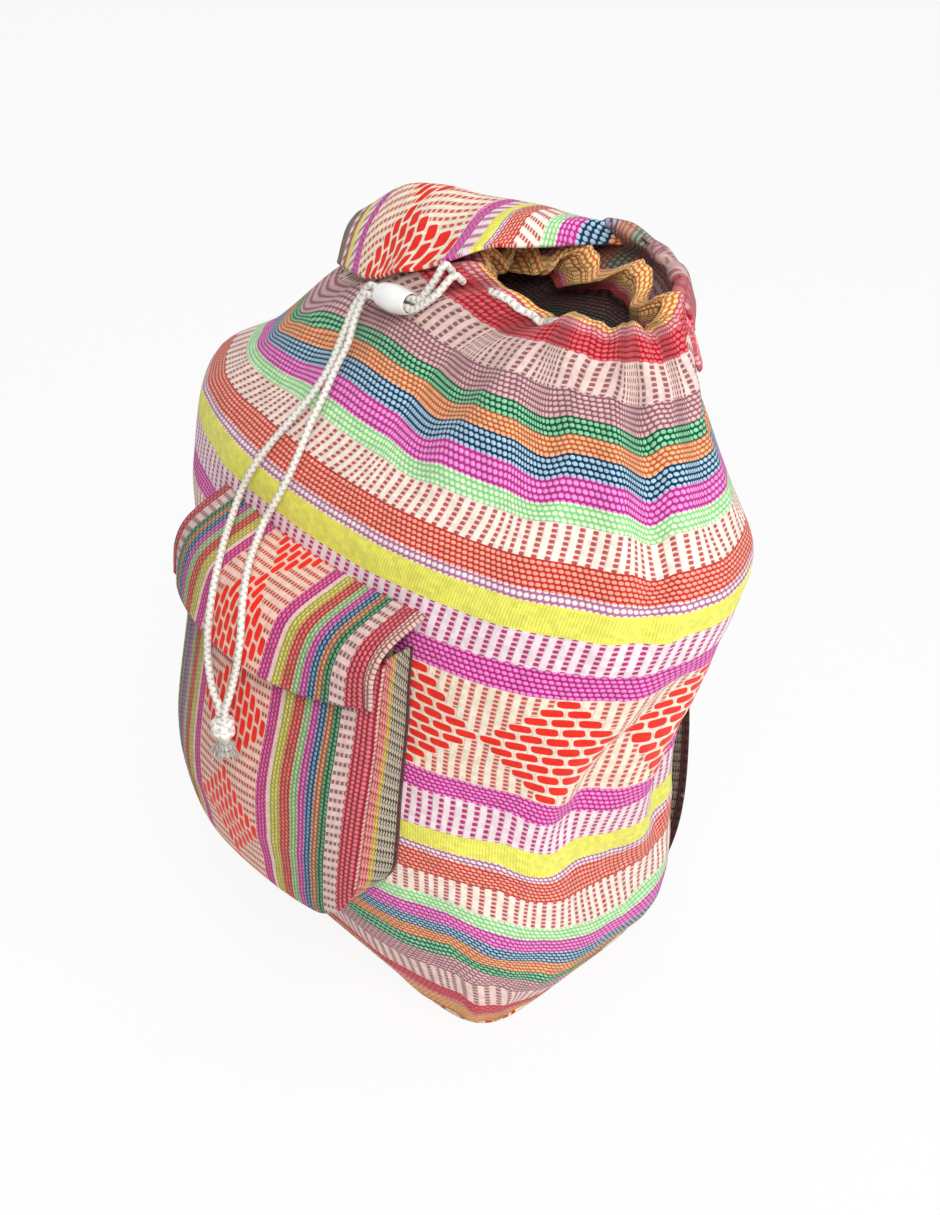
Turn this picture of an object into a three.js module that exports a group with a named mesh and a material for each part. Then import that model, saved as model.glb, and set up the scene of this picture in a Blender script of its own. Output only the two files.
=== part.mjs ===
// A hand-woven drawstring backpack, stuffed and standing on its base.
// Millimetres, +Z up, the pocket faces -Y, the straps are on the +Y side,
// and the origin is at the middle of the base.
import * as THREE from "three";

// Cloth, webbing and the clearances between neighbouring pieces
const clothThickness = 2.2;
const strapThickness = 2.6;
const strapWidth = 30;
const seamGap = 0.4;

// Bag body
const bottomThickness = 2.4;
const rimHeight = 392;
const wallSegments = 72;
const wallRows = 18;
const liningRows = 4;
const liningNeckRows = 3;
const shoulderHeight = 300;

// Sections of the stuffed bag, from the boxed base to the gathered mouth. The mouth has
// slumped towards +X, so the upper sections move that way.
const bodySections = [
  { height: 0, halfWidth: 85, halfDepth: 66, squareness: 6, shiftX: 0, shiftY: 0 },
  { height: 10, halfWidth: 91, halfDepth: 71, squareness: 5, shiftX: -1, shiftY: -1 },
  { height: 50, halfWidth: 114, halfDepth: 86, squareness: 3.3, shiftX: -2, shiftY: -6 },
  { height: 100, halfWidth: 122, halfDepth: 92, squareness: 2.75, shiftX: -5, shiftY: -11 },
  { height: 160, halfWidth: 134, halfDepth: 87, squareness: 2.5, shiftX: -10, shiftY: -12 },
  { height: 220, halfWidth: 151, halfDepth: 81, squareness: 2.3, shiftX: -7, shiftY: -10 },
  { height: 280, halfWidth: 161, halfDepth: 81, squareness: 2.1, shiftX: 0, shiftY: -2 },
  { height: 312, halfWidth: 135, halfDepth: 66, squareness: 2, shiftX: 14, shiftY: 3 },
  { height: 345, halfWidth: 110, halfDepth: 46, squareness: 2, shiftX: 20, shiftY: 10 },
  { height: 368, halfWidth: 88, halfDepth: 38, squareness: 2, shiftX: 34, shiftY: 12 },
  { height: rimHeight, halfWidth: 52, halfDepth: 31, squareness: 2, shiftX: 60, shiftY: 12 },
];

// Valleys of the gathered mouth: where each lies round the rim in degrees, how deep it is,
// how wide in degrees, how far down the cloth it runs and how much it turns on the way.
const gathers = [
  { at: -88, depth: 12, spread: 14, reach: 90, turn: -6 },
  { at: -48, depth: 9, spread: 11, reach: 150, turn: 10 },
  { at: -14, depth: 8, spread: 11, reach: 110, turn: 6 },
  { at: 22, depth: 8, spread: 11, reach: 90, turn: 0 },
  { at: 58, depth: 9, spread: 11, reach: 110, turn: -5 },
  { at: 96, depth: 8, spread: 11, reach: 120, turn: 5 },
  { at: 134, depth: 9, spread: 11, reach: 90, turn: 0 },
  { at: 172, depth: 7, spread: 10, reach: 110, turn: 4 },
  { at: -151, depth: 6, spread: 9, reach: 110, turn: 5 },
  { at: -121, depth: 6, spread: 9, reach: 120, turn: -4 },
];
const gatherRimDrop = 1.1;
const rimTiltBack = 0.05;
const rimTiltFrom = 300;

// Folds pressed into the stuffed cloth: points of angle and height along each, how deep it is
// and how far it spreads to either side. A depth below zero is a ridge.
const creases = [
  { path: [[-34, 388], [-30, 361], [-24, 332], [-22, 300], [-24, 272]], depth: 5, spread: 9 },
  { path: [[-66, 382], [-61, 356], [-56, 338], [-54, 318]], depth: 4.5, spread: 8 },
  { path: [[-78, 372], [-83, 347], [-86, 330], [-82, 312]], depth: 5, spread: 9 },
  { path: [[-4, 232], [-12, 190], [-12, 150], [-2, 108], [10, 70]], depth: 7, spread: 15 },
  { path: [[20, 190], [16, 140], [20, 90]], depth: 5, spread: 12 },
  { path: [[150, 300], [146, 240], [152, 170]], depth: 4, spread: 13 },
  { path: [[-46, 60], [-44, 34], [-46, 12]], depth: -3, spread: 9 },
];
const creaseFade = 25;
const creaseSwell = 0.3;

// Hem folded inwards over the drawstring
const hemDepth = 20;
const hemFoldThickness = 1.8;
const cordDiameter = 3.4;
const cordClearance = 0.8;
const channelWidth = cordDiameter + 2 * cordClearance;
const hemWidth = clothThickness + channelWidth + hemFoldThickness;

// Front pocket
const pocketLeft = -72;
const pocketRight = 60;
const pocketBottom = 106;
const pocketTop = 246;
const pocketDepthTop = 16.2;
const pocketDepthBottom = 27.2;
const pocketSeamGap = 0.8;
const pocketBulge = 17;
const pocketCornerLeft = 56;
const pocketCornerRight = 24;
const gussetThickness = 2.4;
const pocketFlapSeam = 263;
const pocketFlapDrop = 32;
const pocketFlapOverhang = 5;

// Shoulder straps: how high each point is, how far from the middle of the back its centre
// line runs, and how far it stands off the bag
const strapRoute = [
  { height: 346, aside: 26, standOff: 0 },
  { height: 310, aside: 32, standOff: 9 },
  { height: 250, aside: 46, standOff: 17 },
  { height: 180, aside: 58, standOff: 22 },
  { height: 110, aside: 67, standOff: 18 },
  { height: 55, aside: 71, standOff: 9 },
  { height: 16, aside: 68, standOff: 0 },
];
const backMiddleX = -2;

// Bead on the two tails of the drawstring, lying on the shoulder of the bag
const beadLength = 20;
const beadDiameter = 12.8;
const beadBore = 8.4;
const beadCentre = new THREE.Vector3(-11.5, -27.5, 367.2);
const beadAxis = new THREE.Vector3(-1, 0, -0.12).normalize();
const beadTravel = 6;
const beadStraight = 3;
const beadStraightPast = 2;
const tailSpacing = 4.4;
const tailUphill = new THREE.Vector3(0, 0.7, 0.71);
const tailExitHeight = 384;
const tailExitAngle = -127;
const tailExitSpread = 2.8;
const tailEndGap = 2;
const tailTurn = new THREE.Vector3(9, -23, 378);
const tailTurnAside = new THREE.Vector3(-2.4, 2.2, 2);
const knotTop = new THREE.Vector3(-2, -143.5, 204);
const knotSeatGap = 0.4;

// Each tail from where it leaves the bead to the knot, over the bag and the pocket flap
const tailRoutes = {
  drawstring_tail_left: [
    [-36, -29, 357], [-36, -37, 345], [-34, -47, 333], [-35, -57, 322], [-38, -65, 313],
    [-44, -75, 300], [-49, -82, 288], [-53, -87, 276], [-50, -95, 268], [-38, -110, 264],
    [-25, -126, 255], [-19, -135, 240], [-17, -138, 224], [-9, -142, 213],
  ],
  drawstring_tail_right: [
    [-32, -33, 353.5], [-29, -41, 343], [-29, -48, 334], [-28, -57, 323], [-27, -65, 314],
    [-25, -73, 305], [-25, -81, 293], [-28, -87, 281], [-31, -91, 272], [-27, -99, 267],
    [-17, -112, 264], [-5, -125, 257], [3, -134, 243], [2, -138, 225], [1, -142, 213],
  ],
};

const radians = THREE.MathUtils.degToRad;
const clamp = THREE.MathUtils.clamp;

// A smooth curve through values given at rising keys, without overshoot
function track(keys, values) {
  const last = keys.length - 1;
  const slopes = [];
  for (let i = 0; i < last; i += 1) {
    slopes.push((values[i + 1] - values[i]) / (keys[i + 1] - keys[i]));
  }
  const tangents = keys.map((_, i) => {
    if (i === 0) return slopes[0];
    if (i === last) return slopes[last - 1];
    const before = slopes[i - 1];
    const after = slopes[i];
    return before * after <= 0 ? 0 : (2 * before * after) / (before + after);
  });
  return (key) => {
    const k = clamp(key, keys[0], keys[last]);
    let i = 0;
    while (i < last - 1 && k > keys[i + 1]) i += 1;
    const span = keys[i + 1] - keys[i];
    const t = (k - keys[i]) / span;
    const a = 2 * t ** 3 - 3 * t ** 2 + 1;
    const b = t ** 3 - 2 * t ** 2 + t;
    const c = 3 * t ** 2 - 2 * t ** 3;
    const d = t ** 3 - t ** 2;
    return a * values[i] + b * span * tangents[i] + c * values[i + 1] + d * span * tangents[i + 1];
  };
}

const sectionHeights = bodySections.map((section) => section.height);
const sectionTrack = (name) => track(sectionHeights, bodySections.map((section) => section[name]));
const halfWidthAt = sectionTrack("halfWidth");
const halfDepthAt = sectionTrack("halfDepth");
const squarenessAt = sectionTrack("squareness");
const shiftXAt = sectionTrack("shiftX");
const shiftYAt = sectionTrack("shiftY");

// The turn from one angle to another, in degrees between -180 and 180
const turnBetween = (from, to) => ((((to - from + 540) % 360) + 360) % 360) - 180;

// How far the gathers pull the cloth in at an angle and height
function gatherDepth(angle, height) {
  let depth = 0;
  for (const gather of gathers) {
    const below = (rimHeight - height) / gather.reach;
    if (below >= 1) continue;
    const centre = gather.at + gather.turn * below;
    const away = turnBetween(centre, angle);
    const spread = gather.spread * (1 - 0.35 * below);
    depth += gather.depth * (1 - below) ** 1.2 * Math.exp(-((away / spread) ** 2));
  }
  return depth;
}

// How far the creases press the cloth in, with a low swell on either side of each
function creaseDepth(angle, height) {
  const perDegree = radians((halfWidthAt(height) + halfDepthAt(height)) / 2);
  let depth = 0;
  for (const crease of creases) {
    let nearest = Infinity;
    for (let i = 0; i < crease.path.length - 1; i += 1) {
      const [fromAngle, fromHeight] = crease.path[i];
      const [toAngle, toHeight] = crease.path[i + 1];
      const start = new THREE.Vector2(turnBetween(fromAngle, angle) * perDegree, height - fromHeight);
      const run = new THREE.Vector2(turnBetween(fromAngle, toAngle) * perDegree, toHeight - fromHeight);
      const share = clamp(start.dot(run) / run.lengthSq(), 0, 1);
      nearest = Math.min(nearest, start.addScaledVector(run, -share).length());
    }
    const heights = crease.path.map((point) => point[1]);
    const fadeBelow = clamp((height - Math.min(...heights)) / (2 * creaseFade) + 0.5, 0, 1);
    const fadeAbove = clamp((Math.max(...heights) - height) / (2 * creaseFade) + 0.5, 0, 1);
    const away = nearest / crease.spread;
    const shape = Math.exp(-(away ** 2)) - creaseSwell * Math.exp(-((away - 1.9) ** 2));
    depth += crease.depth * fadeBelow * fadeAbove * shape;
  }
  return depth;
}

function sectionPoint(height, angle) {
  const power = 2 / squarenessAt(height);
  const c = Math.cos(radians(angle));
  const s = Math.sin(radians(angle));
  return new THREE.Vector3(
    halfWidthAt(height) * Math.sign(c) * Math.abs(c) ** power + shiftXAt(height),
    halfDepthAt(height) * Math.sign(s) * Math.abs(s) ** power + shiftYAt(height),
    height,
  );
}

// A point of the wall: inset is its distance inside the outer face of the cloth
function wallPoint(height, angle, inset) {
  const turn = 1.5;
  const rise = 1.5;
  const here = sectionPoint(height, angle);
  const round = sectionPoint(height, angle + turn).sub(sectionPoint(height, angle - turn)).normalize();
  const low = Math.max(height - rise, 0);
  const high = Math.min(height + rise, rimHeight);
  const climb = sectionPoint(high, angle).sub(sectionPoint(low, angle));
  const pulled = gatherDepth(angle, height);
  const level = new THREE.Vector3(-round.y, round.x, 0);
  const inward = climb.cross(round).normalize();
  const pressed = inset + creaseDepth(angle, height);
  here.addScaledVector(inward, pressed).addScaledVector(level, pulled);
  const tilt = clamp((height - rimTiltFrom) / (rimHeight - rimTiltFrom), 0, 1) ** 2;
  here.z += tilt * (rimTiltBack * (here.y - shiftYAt(height)) - gatherRimDrop * pulled);
  return here;
}

// The y of the bag's outer face at the front, straight behind a point at x and height
function frontFaceY(x, height) {
  const across = clamp(Math.abs(x - shiftXAt(height)) / halfWidthAt(height), 0, 1);
  const squareness = squarenessAt(height);
  return shiftYAt(height) - halfDepthAt(height) * (1 - across ** squareness) ** (1 / squareness);
}

function solidFrom(positions, triangles) {
  const volume = triangles.reduce((sum, [a, b, c]) => {
    const cross = new THREE.Vector3().crossVectors(positions[b], positions[c]);
    return sum + positions[a].dot(cross);
  }, 0);
  const turned = volume > 0 ? triangles : triangles.map(([a, b, c]) => [a, c, b]);
  const geometry = new THREE.BufferGeometry();
  geometry.setAttribute(
    "position",
    new THREE.Float32BufferAttribute(positions.flatMap((point) => point.toArray()), 3),
  );
  geometry.setIndex(turned.flat());
  geometry.computeVertexNormals();
  return geometry;
}

function quad(triangles, a, b, c, d) {
  triangles.push([a, b, c], [a, c, d]);
}

// Closed rings of points joined into a tyre-like solid, the last ring to the first
function ringSolid(rings) {
  const count = rings[0].length;
  const triangles = [];
  rings.forEach((_, row) => {
    const next = (row + 1) % rings.length;
    for (let i = 0; i < count; i += 1) {
      const j = (i + 1) % count;
      quad(triangles, row * count + i, row * count + j, next * count + j, next * count + i);
    }
  });
  return solidFrom(rings.flat(), triangles);
}

// A sheet of cloth with a thickness behind the surface that pointAt(u, v) gives
function sheetSolid(pointAt, stepsU, stepsV, thickness) {
  const nudge = 0.01;
  const front = [];
  const back = [];
  for (let j = 0; j <= stepsV; j += 1) {
    for (let i = 0; i <= stepsU; i += 1) {
      const u = i / stepsU;
      const v = j / stepsV;
      const here = pointAt(u, v);
      const alongU = pointAt(Math.min(u + nudge, 1), v).sub(pointAt(Math.max(u - nudge, 0), v));
      const alongV = pointAt(u, Math.min(v + nudge, 1)).sub(pointAt(u, Math.max(v - nudge, 0)));
      const normal = alongU.cross(alongV).normalize();
      front.push(here);
      back.push(here.clone().addScaledVector(normal, -thickness));
    }
  }
  const row = stepsU + 1;
  const offset = front.length;
  const triangles = [];
  for (let j = 0; j < stepsV; j += 1) {
    for (let i = 0; i < stepsU; i += 1) {
      const a = j * row + i;
      quad(triangles, a, a + 1, a + row + 1, a + row);
      quad(triangles, offset + a, offset + a + row, offset + a + row + 1, offset + a + 1);
    }
  }
  const edge = (a, b) => quad(triangles, b, a, offset + a, offset + b);
  for (let i = 0; i < stepsU; i += 1) {
    edge(i, i + 1);
    edge(stepsV * row + i + 1, stepsV * row + i);
  }
  for (let j = 0; j < stepsV; j += 1) {
    edge((j + 1) * row, j * row);
    edge(j * row + stepsU, (j + 1) * row + stepsU);
  }
  return solidFrom(front.concat(back), triangles);
}

function mesh(name, geometry, color, roughness) {
  const material = new THREE.MeshStandardMaterial({ color, roughness, metalness: 0 });
  const piece = new THREE.Mesh(geometry, material);
  piece.name = name;
  return piece;
}

// Bag body: the wall with its gathers, its hem folded in over a channel for the drawstring
function bodyWall() {
  const foot = bottomThickness + seamGap;
  const rows = [];
  const climb = (from, to, count, inset) => {
    for (let i = 0; i <= count; i += 1) {
      rows.push({ height: from + ((to - from) * i) / count, inset });
    }
  };
  const hemFoot = rimHeight - hemDepth;
  const channelTop = rimHeight - clothThickness;
  climb(foot, rimHeight - hemWidth / 3, wallRows, 0);
  rows.push({ height: rimHeight, inset: hemWidth / 2 });
  climb(rimHeight - hemWidth / 3, hemFoot, 3, hemWidth);
  climb(hemFoot, channelTop - channelWidth / 4, 3, hemWidth - hemFoldThickness);
  rows.push({ height: channelTop, inset: clothThickness + channelWidth / 2 });
  climb(channelTop - channelWidth / 4, hemFoot, 3, clothThickness);
  climb(hemFoot - (hemFoot - shoulderHeight) / 4, shoulderHeight, liningNeckRows, clothThickness);
  climb(shoulderHeight * 0.8, foot, liningRows, clothThickness);
  return ringSolid(rows.map(({ height, inset }) => {
    const ring = [];
    for (let i = 0; i < wallSegments; i += 1) {
      ring.push(wallPoint(height, (360 * i) / wallSegments, inset));
    }
    return ring;
  }));
}

// Bottom panel: the boxed base outline, flat on the ground
function bottomPanel() {
  const outline = [];
  for (let i = 0; i < wallSegments; i += 1) {
    const point = sectionPoint(0, (360 * i) / wallSegments);
    outline.push(new THREE.Vector2(point.x, point.y));
  }
  const shape = new THREE.Shape(outline);
  return new THREE.ExtrudeGeometry(shape, { depth: bottomThickness, bevelEnabled: false });
}

// Drawstring inside the hem: a loop that lies at the top of the channel
function hemCordPoint(angle, turn) {
  const radius = cordDiameter / 2;
  const height = rimHeight - clothThickness - channelWidth / 2 - cordDiameter;
  const inset = clothThickness + channelWidth / 2;
  return wallPoint(height + radius * Math.sin(turn), angle, inset - radius * Math.cos(turn));
}

function drawstringInHem() {
  const sides = 6;
  const rings = [];
  for (let k = 0; k < sides; k += 1) {
    const ring = [];
    for (let i = 0; i < wallSegments; i += 1) {
      ring.push(hemCordPoint((360 * i) / wallSegments, (2 * Math.PI * k) / sides));
    }
    rings.push(ring);
  }
  return ringSolid(rings);
}

// Front pocket: a bulged panel on a gusset that runs down both sides and under it
const pocketMiddle = (pocketLeft + pocketRight) / 2;
const pocketLeftAt = (height) => {
  const above = clamp((pocketBottom + pocketCornerLeft - height) / pocketCornerLeft, 0, 1);
  return pocketLeft + pocketCornerLeft * (1 - Math.sqrt(1 - above ** 2));
};
const pocketRightAt = (height) => {
  const above = clamp((pocketBottom + pocketCornerRight - height) / pocketCornerRight, 0, 1);
  return pocketRight - pocketCornerRight * (1 - Math.sqrt(1 - above ** 2));
};
const pocketDepthAt = track([pocketBottom, pocketTop], [pocketDepthBottom, pocketDepthTop]);
const pocketBackY = (x, height) => {
  const inner = x + Math.sign(pocketMiddle - x) * gussetThickness;
  const bodyOutside = frontFaceY(x, height);
  const bodyInside = frontFaceY(inner, height + gussetThickness);
  return Math.min(bodyOutside, bodyInside) - seamGap;
};
const pocketEdgeY = (x, height) => pocketBackY(x, height) - pocketDepthAt(height);

function pocketFrontPoint(across, down) {
  const height = pocketTop + (pocketBottom - pocketTop) * down;
  const x = THREE.MathUtils.lerp(pocketLeftAt(height), pocketRightAt(height), across);
  const fullAcross = Math.sin(Math.PI * across) ** 0.7;
  const fullDown = 0.55 + 0.45 * Math.sin(Math.PI * clamp(down * 1.15, 0, 1));
  const closing = Math.sqrt(clamp((1 - down) / 0.25, 0, 1));
  const bulge = pocketBulge * fullAcross * fullDown * closing;
  return new THREE.Vector3(x, pocketEdgeY(x, height) - pocketSeamGap - bulge, height);
}

function pocketFront() {
  return sheetSolid((u, v) => pocketFrontPoint(u, v), 14, 10, clothThickness);
}

function pocketOutline(steps) {
  const leftX = pocketLeft + pocketCornerLeft;
  const leftY = pocketBottom + pocketCornerLeft;
  const rightX = pocketRight - pocketCornerRight;
  const rightY = pocketBottom + pocketCornerRight;
  const path = new THREE.Path();
  path.moveTo(pocketLeft, pocketTop);
  path.lineTo(pocketLeft, leftY);
  path.absarc(leftX, leftY, pocketCornerLeft, Math.PI, 1.5 * Math.PI);
  path.lineTo(rightX, pocketBottom);
  path.absarc(rightX, rightY, pocketCornerRight, 1.5 * Math.PI, 2 * Math.PI);
  path.lineTo(pocketRight, pocketTop);
  return path.getSpacedPoints(steps);
}

function pocketGusset() {
  const steps = 32;
  const points = pocketOutline(steps);
  const pointAt = (u, v) => {
    const at = clamp(u * steps, 0, steps);
    const i = Math.min(Math.floor(at), steps - 1);
    const here = points[i].clone().lerp(points[i + 1], at - i);
    const y = pocketBackY(here.x, here.y) - pocketDepthAt(here.y) * v;
    return new THREE.Vector3(here.x, y, here.y);
  };
  return sheetSolid(pointAt, steps, 1, gussetThickness);
}

// Pocket flap: sewn to the bag above the pocket, out over its mouth and down its face
function pocketFlapPoint(across, down) {
  const aside = 4;
  const browRise = 9;
  const noseRise = 1;
  const noseReach = 3;
  const hemHeight = pocketTop + 16 - pocketFlapDrop;
  const x = THREE.MathUtils.lerp(pocketLeft - aside, pocketRight + aside, across);
  const faceAcross = clamp((x - pocketLeft) / (pocketRight - pocketLeft), 0, 1);
  const face = pocketFrontPoint(faceAcross, 0.02);
  const belly = pocketFrontPoint(faceAcross, pocketFlapDrop / (pocketTop - pocketBottom));
  const seam = new THREE.Vector3(x, frontFaceY(x, pocketFlapSeam) - seamGap, pocketFlapSeam);
  const brow = new THREE.Vector3(x, face.y - pocketFlapOverhang * 0.4, pocketTop + browRise);
  const nose = new THREE.Vector3(x, face.y - pocketFlapOverhang - noseReach, pocketTop + noseRise);
  const hem = new THREE.Vector3(x, belly.y - pocketFlapOverhang, hemHeight);
  const curve = new THREE.CatmullRomCurve3([seam, brow, nose, hem], false, "centripetal");
  return curve.getPoint(down);
}

function pocketFlap() {
  return sheetSolid((u, v) => pocketFlapPoint(u, v), 14, 7, clothThickness);
}

// Top flap: sewn behind the rim, bunched along it on the right, rolled over the mouth on the left
const flapColumns = [
  { across: 0, seamAngle: 30, crest: [103, 34, 383], edge: [108, 39, 372] },
  { across: 0.22, seamAngle: 56, crest: [84, 45, 391.5], edge: [88, 52, 379] },
  { across: 0.42, seamAngle: 86, crest: [54, 48, 396.5], edge: [53, 56, 386] },
  { across: 0.56, seamAngle: 112, crest: [24, 36, 400.5], edge: [26, 0, 396] },
  { across: 0.7, seamAngle: 132, crest: [-12, 20, 402], edge: [-14, -20, 378] },
  { across: 0.85, seamAngle: 150, crest: [-46, 14, 397], edge: [-38, -20, 366] },
  { across: 1, seamAngle: 166, crest: [-70, 4, 380], edge: [-70, -12, 359] },
];
const flapSeamHeight = 360;
const flapSwellBehind = new THREE.Vector3(-3, 8, 0);
const flapSwellAbove = new THREE.Vector3(-1, 0, 5);
const flapTrack = (pick) => track(flapColumns.map((column) => column.across), flapColumns.map(pick));
const flapSeamAngle = flapTrack((column) => column.seamAngle);
const flapCrest = [0, 1, 2].map((axis) => flapTrack((column) => column.crest[axis]));
const flapEdge = [0, 1, 2].map((axis) => flapTrack((column) => column.edge[axis]));

function topFlapPoint(across, along) {
  const seam = wallPoint(flapSeamHeight, flapSeamAngle(across), -2 * seamGap - clothThickness);
  const crest = new THREE.Vector3(...flapCrest.map((at) => at(across)));
  const edge = new THREE.Vector3(...flapEdge.map((at) => at(across)));
  const rise = seam.clone().lerp(crest, 0.6).add(flapSwellBehind);
  const roll = crest.clone().lerp(edge, 0.5).add(flapSwellAbove);
  const curve = new THREE.CatmullRomCurve3([seam, rise, crest, roll, edge], false, "centripetal");
  return curve.getPoint(along);
}

function topFlap() {
  return sheetSolid((u, v) => topFlapPoint(u, v), 20, 10, clothThickness);
}

// Shoulder straps: flat webbing from the seam behind the mouth to the corners of the base
function backFaceY(x, height) {
  const across = clamp(Math.abs(x - shiftXAt(height)) / halfWidthAt(height), 0, 1);
  const squareness = squarenessAt(height);
  return shiftYAt(height) + halfDepthAt(height) * (1 - across ** squareness) ** (1 / squareness);
}

function shoulderStrap(side) {
  const centreLine = new THREE.CatmullRomCurve3(strapRoute.map(({ height, aside, standOff }) => {
    const x = backMiddleX + side * aside;
    return new THREE.Vector3(x, backFaceY(x, height) + seamGap + standOff, height);
  }), false, "centripetal");
  const rising = [...strapRoute].reverse();
  const slope = track(
    rising.map(({ height }) => height),
    rising.map(({ height, aside }) => {
      const x = backMiddleX + side * aside;
      const nudge = 5;
      return (backFaceY(x + nudge, height) - backFaceY(x - nudge, height)) / (2 * nudge);
    }),
  );
  const pointAt = (u, v) => {
    const here = centreLine.getPoint(u);
    const across = new THREE.Vector3(1, slope(here.z), 0).normalize();
    return here.addScaledVector(across, (v - 0.5) * strapWidth);
  };
  return sheetSolid(pointAt, 20, 2, strapThickness);
}

// Drawstring tails: out of the hem, side by side through the bead, then down to the knot
function tailCurve(name, uphill) {
  const aside = tailUphill.clone().multiplyScalar((uphill * tailSpacing) / 2);
  const alongBead = (distance) => beadCentre.clone().addScaledVector(beadAxis, distance).add(aside);
  const exitAngle = tailExitAngle - uphill * tailExitSpread;
  const atHem = wallPoint(tailExitHeight, exitAngle, -tailEndGap);
  const clearOfHem = wallPoint(tailExitHeight, exitAngle, -1.6 * cordDiameter - clothThickness);
  const turning = tailTurn.clone().addScaledVector(tailTurnAside, uphill);
  const entry = alongBead(-beadLength / 2 - beadStraight);
  const route = tailRoutes[name].map((point) => new THREE.Vector3(...point));
  const intoKnot = knotTop.clone().add(new THREE.Vector3((-uphill * tailSpacing) / 2, 0, knotSeatGap));
  const aboveKnot = intoKnot.clone().add(new THREE.Vector3(0, 0.5, 5));
  return new THREE.CatmullRomCurve3([
    atHem, clearOfHem, turning, entry, alongBead(-beadLength / 2), alongBead(beadLength / 2),
    alongBead(beadLength / 2 + beadTravel), alongBead(beadLength / 2 + beadTravel + beadStraightPast),
    ...route, aboveKnot, intoKnot,
  ], false, "centripetal");
}

function drawstringTail(name, uphill) {
  const outline = new THREE.Shape();
  const sides = 8;
  for (let i = 0; i < sides; i += 1) {
    const angle = (2 * Math.PI * i) / sides;
    const x = (cordDiameter / 2) * Math.cos(angle);
    const y = (cordDiameter / 2) * Math.sin(angle);
    if (i === 0) outline.moveTo(x, y);
    else outline.lineTo(x, y);
  }
  return new THREE.ExtrudeGeometry(outline, { steps: 44, extrudePath: tailCurve(name, uphill) });
}

// Bead: a turned olive with a bore that both tails run through
function cordBead() {
  const half = beadLength / 2;
  const shoulder = beadLength / 3;
  const bore = beadBore / 2;
  const lip = beadDiameter * 0.37;
  const waist = beadDiameter * 0.45;
  const shape = [
    [bore, -half],
    [lip, -half],
    [waist, -shoulder],
    [beadDiameter / 2, 0],
    [waist, shoulder],
    [lip, half],
    [bore, half],
  ];
  const profile = shape.map(([radius, height]) => new THREE.Vector2(radius, height));
  profile.push(profile[0].clone());
  return new THREE.LatheGeometry(profile, 22);
}

// Knot: both tails tied together, with their short frayed ends hanging below
const knotShape = [
  [0, -23],
  [5.2, -23],
  [4.6, -18],
  [3.2, -12],
  [4, -10],
  [6.2, -7],
  [6.2, -3],
  [4.6, 0],
  [0, 0],
];

function cordKnot() {
  return new THREE.LatheGeometry(knotShape.map(([radius, height]) => new THREE.Vector2(radius, height)), 14);
}

const group = new THREE.Group();
group.add(mesh("body_wall", bodyWall(), 0xd98a86, 0.95));
group.add(mesh("bottom_panel", bottomPanel(), 0xc9b7a6, 0.95));
group.add(mesh("drawstring_in_hem", drawstringInHem(), 0xf2f0ea, 0.8));
group.add(mesh("pocket_front", pocketFront(), 0xd98a86, 0.95));
group.add(mesh("pocket_gusset", pocketGusset(), 0x7a5a4a, 0.95));
group.add(mesh("pocket_flap", pocketFlap(), 0xd98a86, 0.95));
group.add(mesh("top_flap", topFlap(), 0xd96a60, 0.95));
group.add(mesh("shoulder_strap_left", shoulderStrap(-1), 0x5a4238, 0.95));
group.add(mesh("shoulder_strap_right", shoulderStrap(1), 0x5a4238, 0.95));
for (const [name, uphill] of [["drawstring_tail_left", 1], ["drawstring_tail_right", -1]]) {
  group.add(mesh(name, drawstringTail(name, uphill), 0xf2f0ea, 0.8));
}

const bead = mesh("cord_bead", cordBead(), 0xf7f6f3, 0.25);
bead.position.copy(beadCentre);
bead.quaternion.setFromUnitVectors(new THREE.Vector3(0, 1, 0), beadAxis);
group.add(bead);

const knot = mesh("cord_knot", cordKnot(), 0xf2f0ea, 0.8);
knot.position.copy(knotTop);
knot.rotation.x = Math.PI / 2;
group.add(knot);

export default group;
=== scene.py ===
"""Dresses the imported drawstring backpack: woven cloth, webbing, cords and a soft studio.

Lengths in the tables and helpers are millimetres, and meshes are scaled to metres at the end.
"""

import math

import bpy
import numpy as np
from mathutils import Matrix, Vector


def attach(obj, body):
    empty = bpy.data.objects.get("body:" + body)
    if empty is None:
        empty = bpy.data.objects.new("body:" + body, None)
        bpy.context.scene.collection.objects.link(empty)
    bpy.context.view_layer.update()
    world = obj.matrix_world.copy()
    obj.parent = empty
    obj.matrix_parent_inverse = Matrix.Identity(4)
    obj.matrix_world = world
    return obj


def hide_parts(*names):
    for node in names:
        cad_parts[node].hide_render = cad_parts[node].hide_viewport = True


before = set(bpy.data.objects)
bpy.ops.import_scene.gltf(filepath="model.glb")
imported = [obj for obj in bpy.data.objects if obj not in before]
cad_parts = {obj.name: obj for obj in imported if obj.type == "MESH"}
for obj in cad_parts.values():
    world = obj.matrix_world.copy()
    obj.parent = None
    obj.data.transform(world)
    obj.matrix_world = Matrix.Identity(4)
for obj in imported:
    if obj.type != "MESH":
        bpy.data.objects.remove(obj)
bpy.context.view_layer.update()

MM = 0.001

# Camera fitted to the photograph

PHOTO_HEIGHT = 1215
FOCAL_PIXELS = 1835
FRAME_SHIFT_PIXELS = 10
CAMERA_AZIMUTH = math.radians(47)
CAMERA_ELEVATION = math.radians(36)
CAMERA_DISTANCE = 0.9
CAMERA_TARGET = Vector((0, 0, 0.2))


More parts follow.
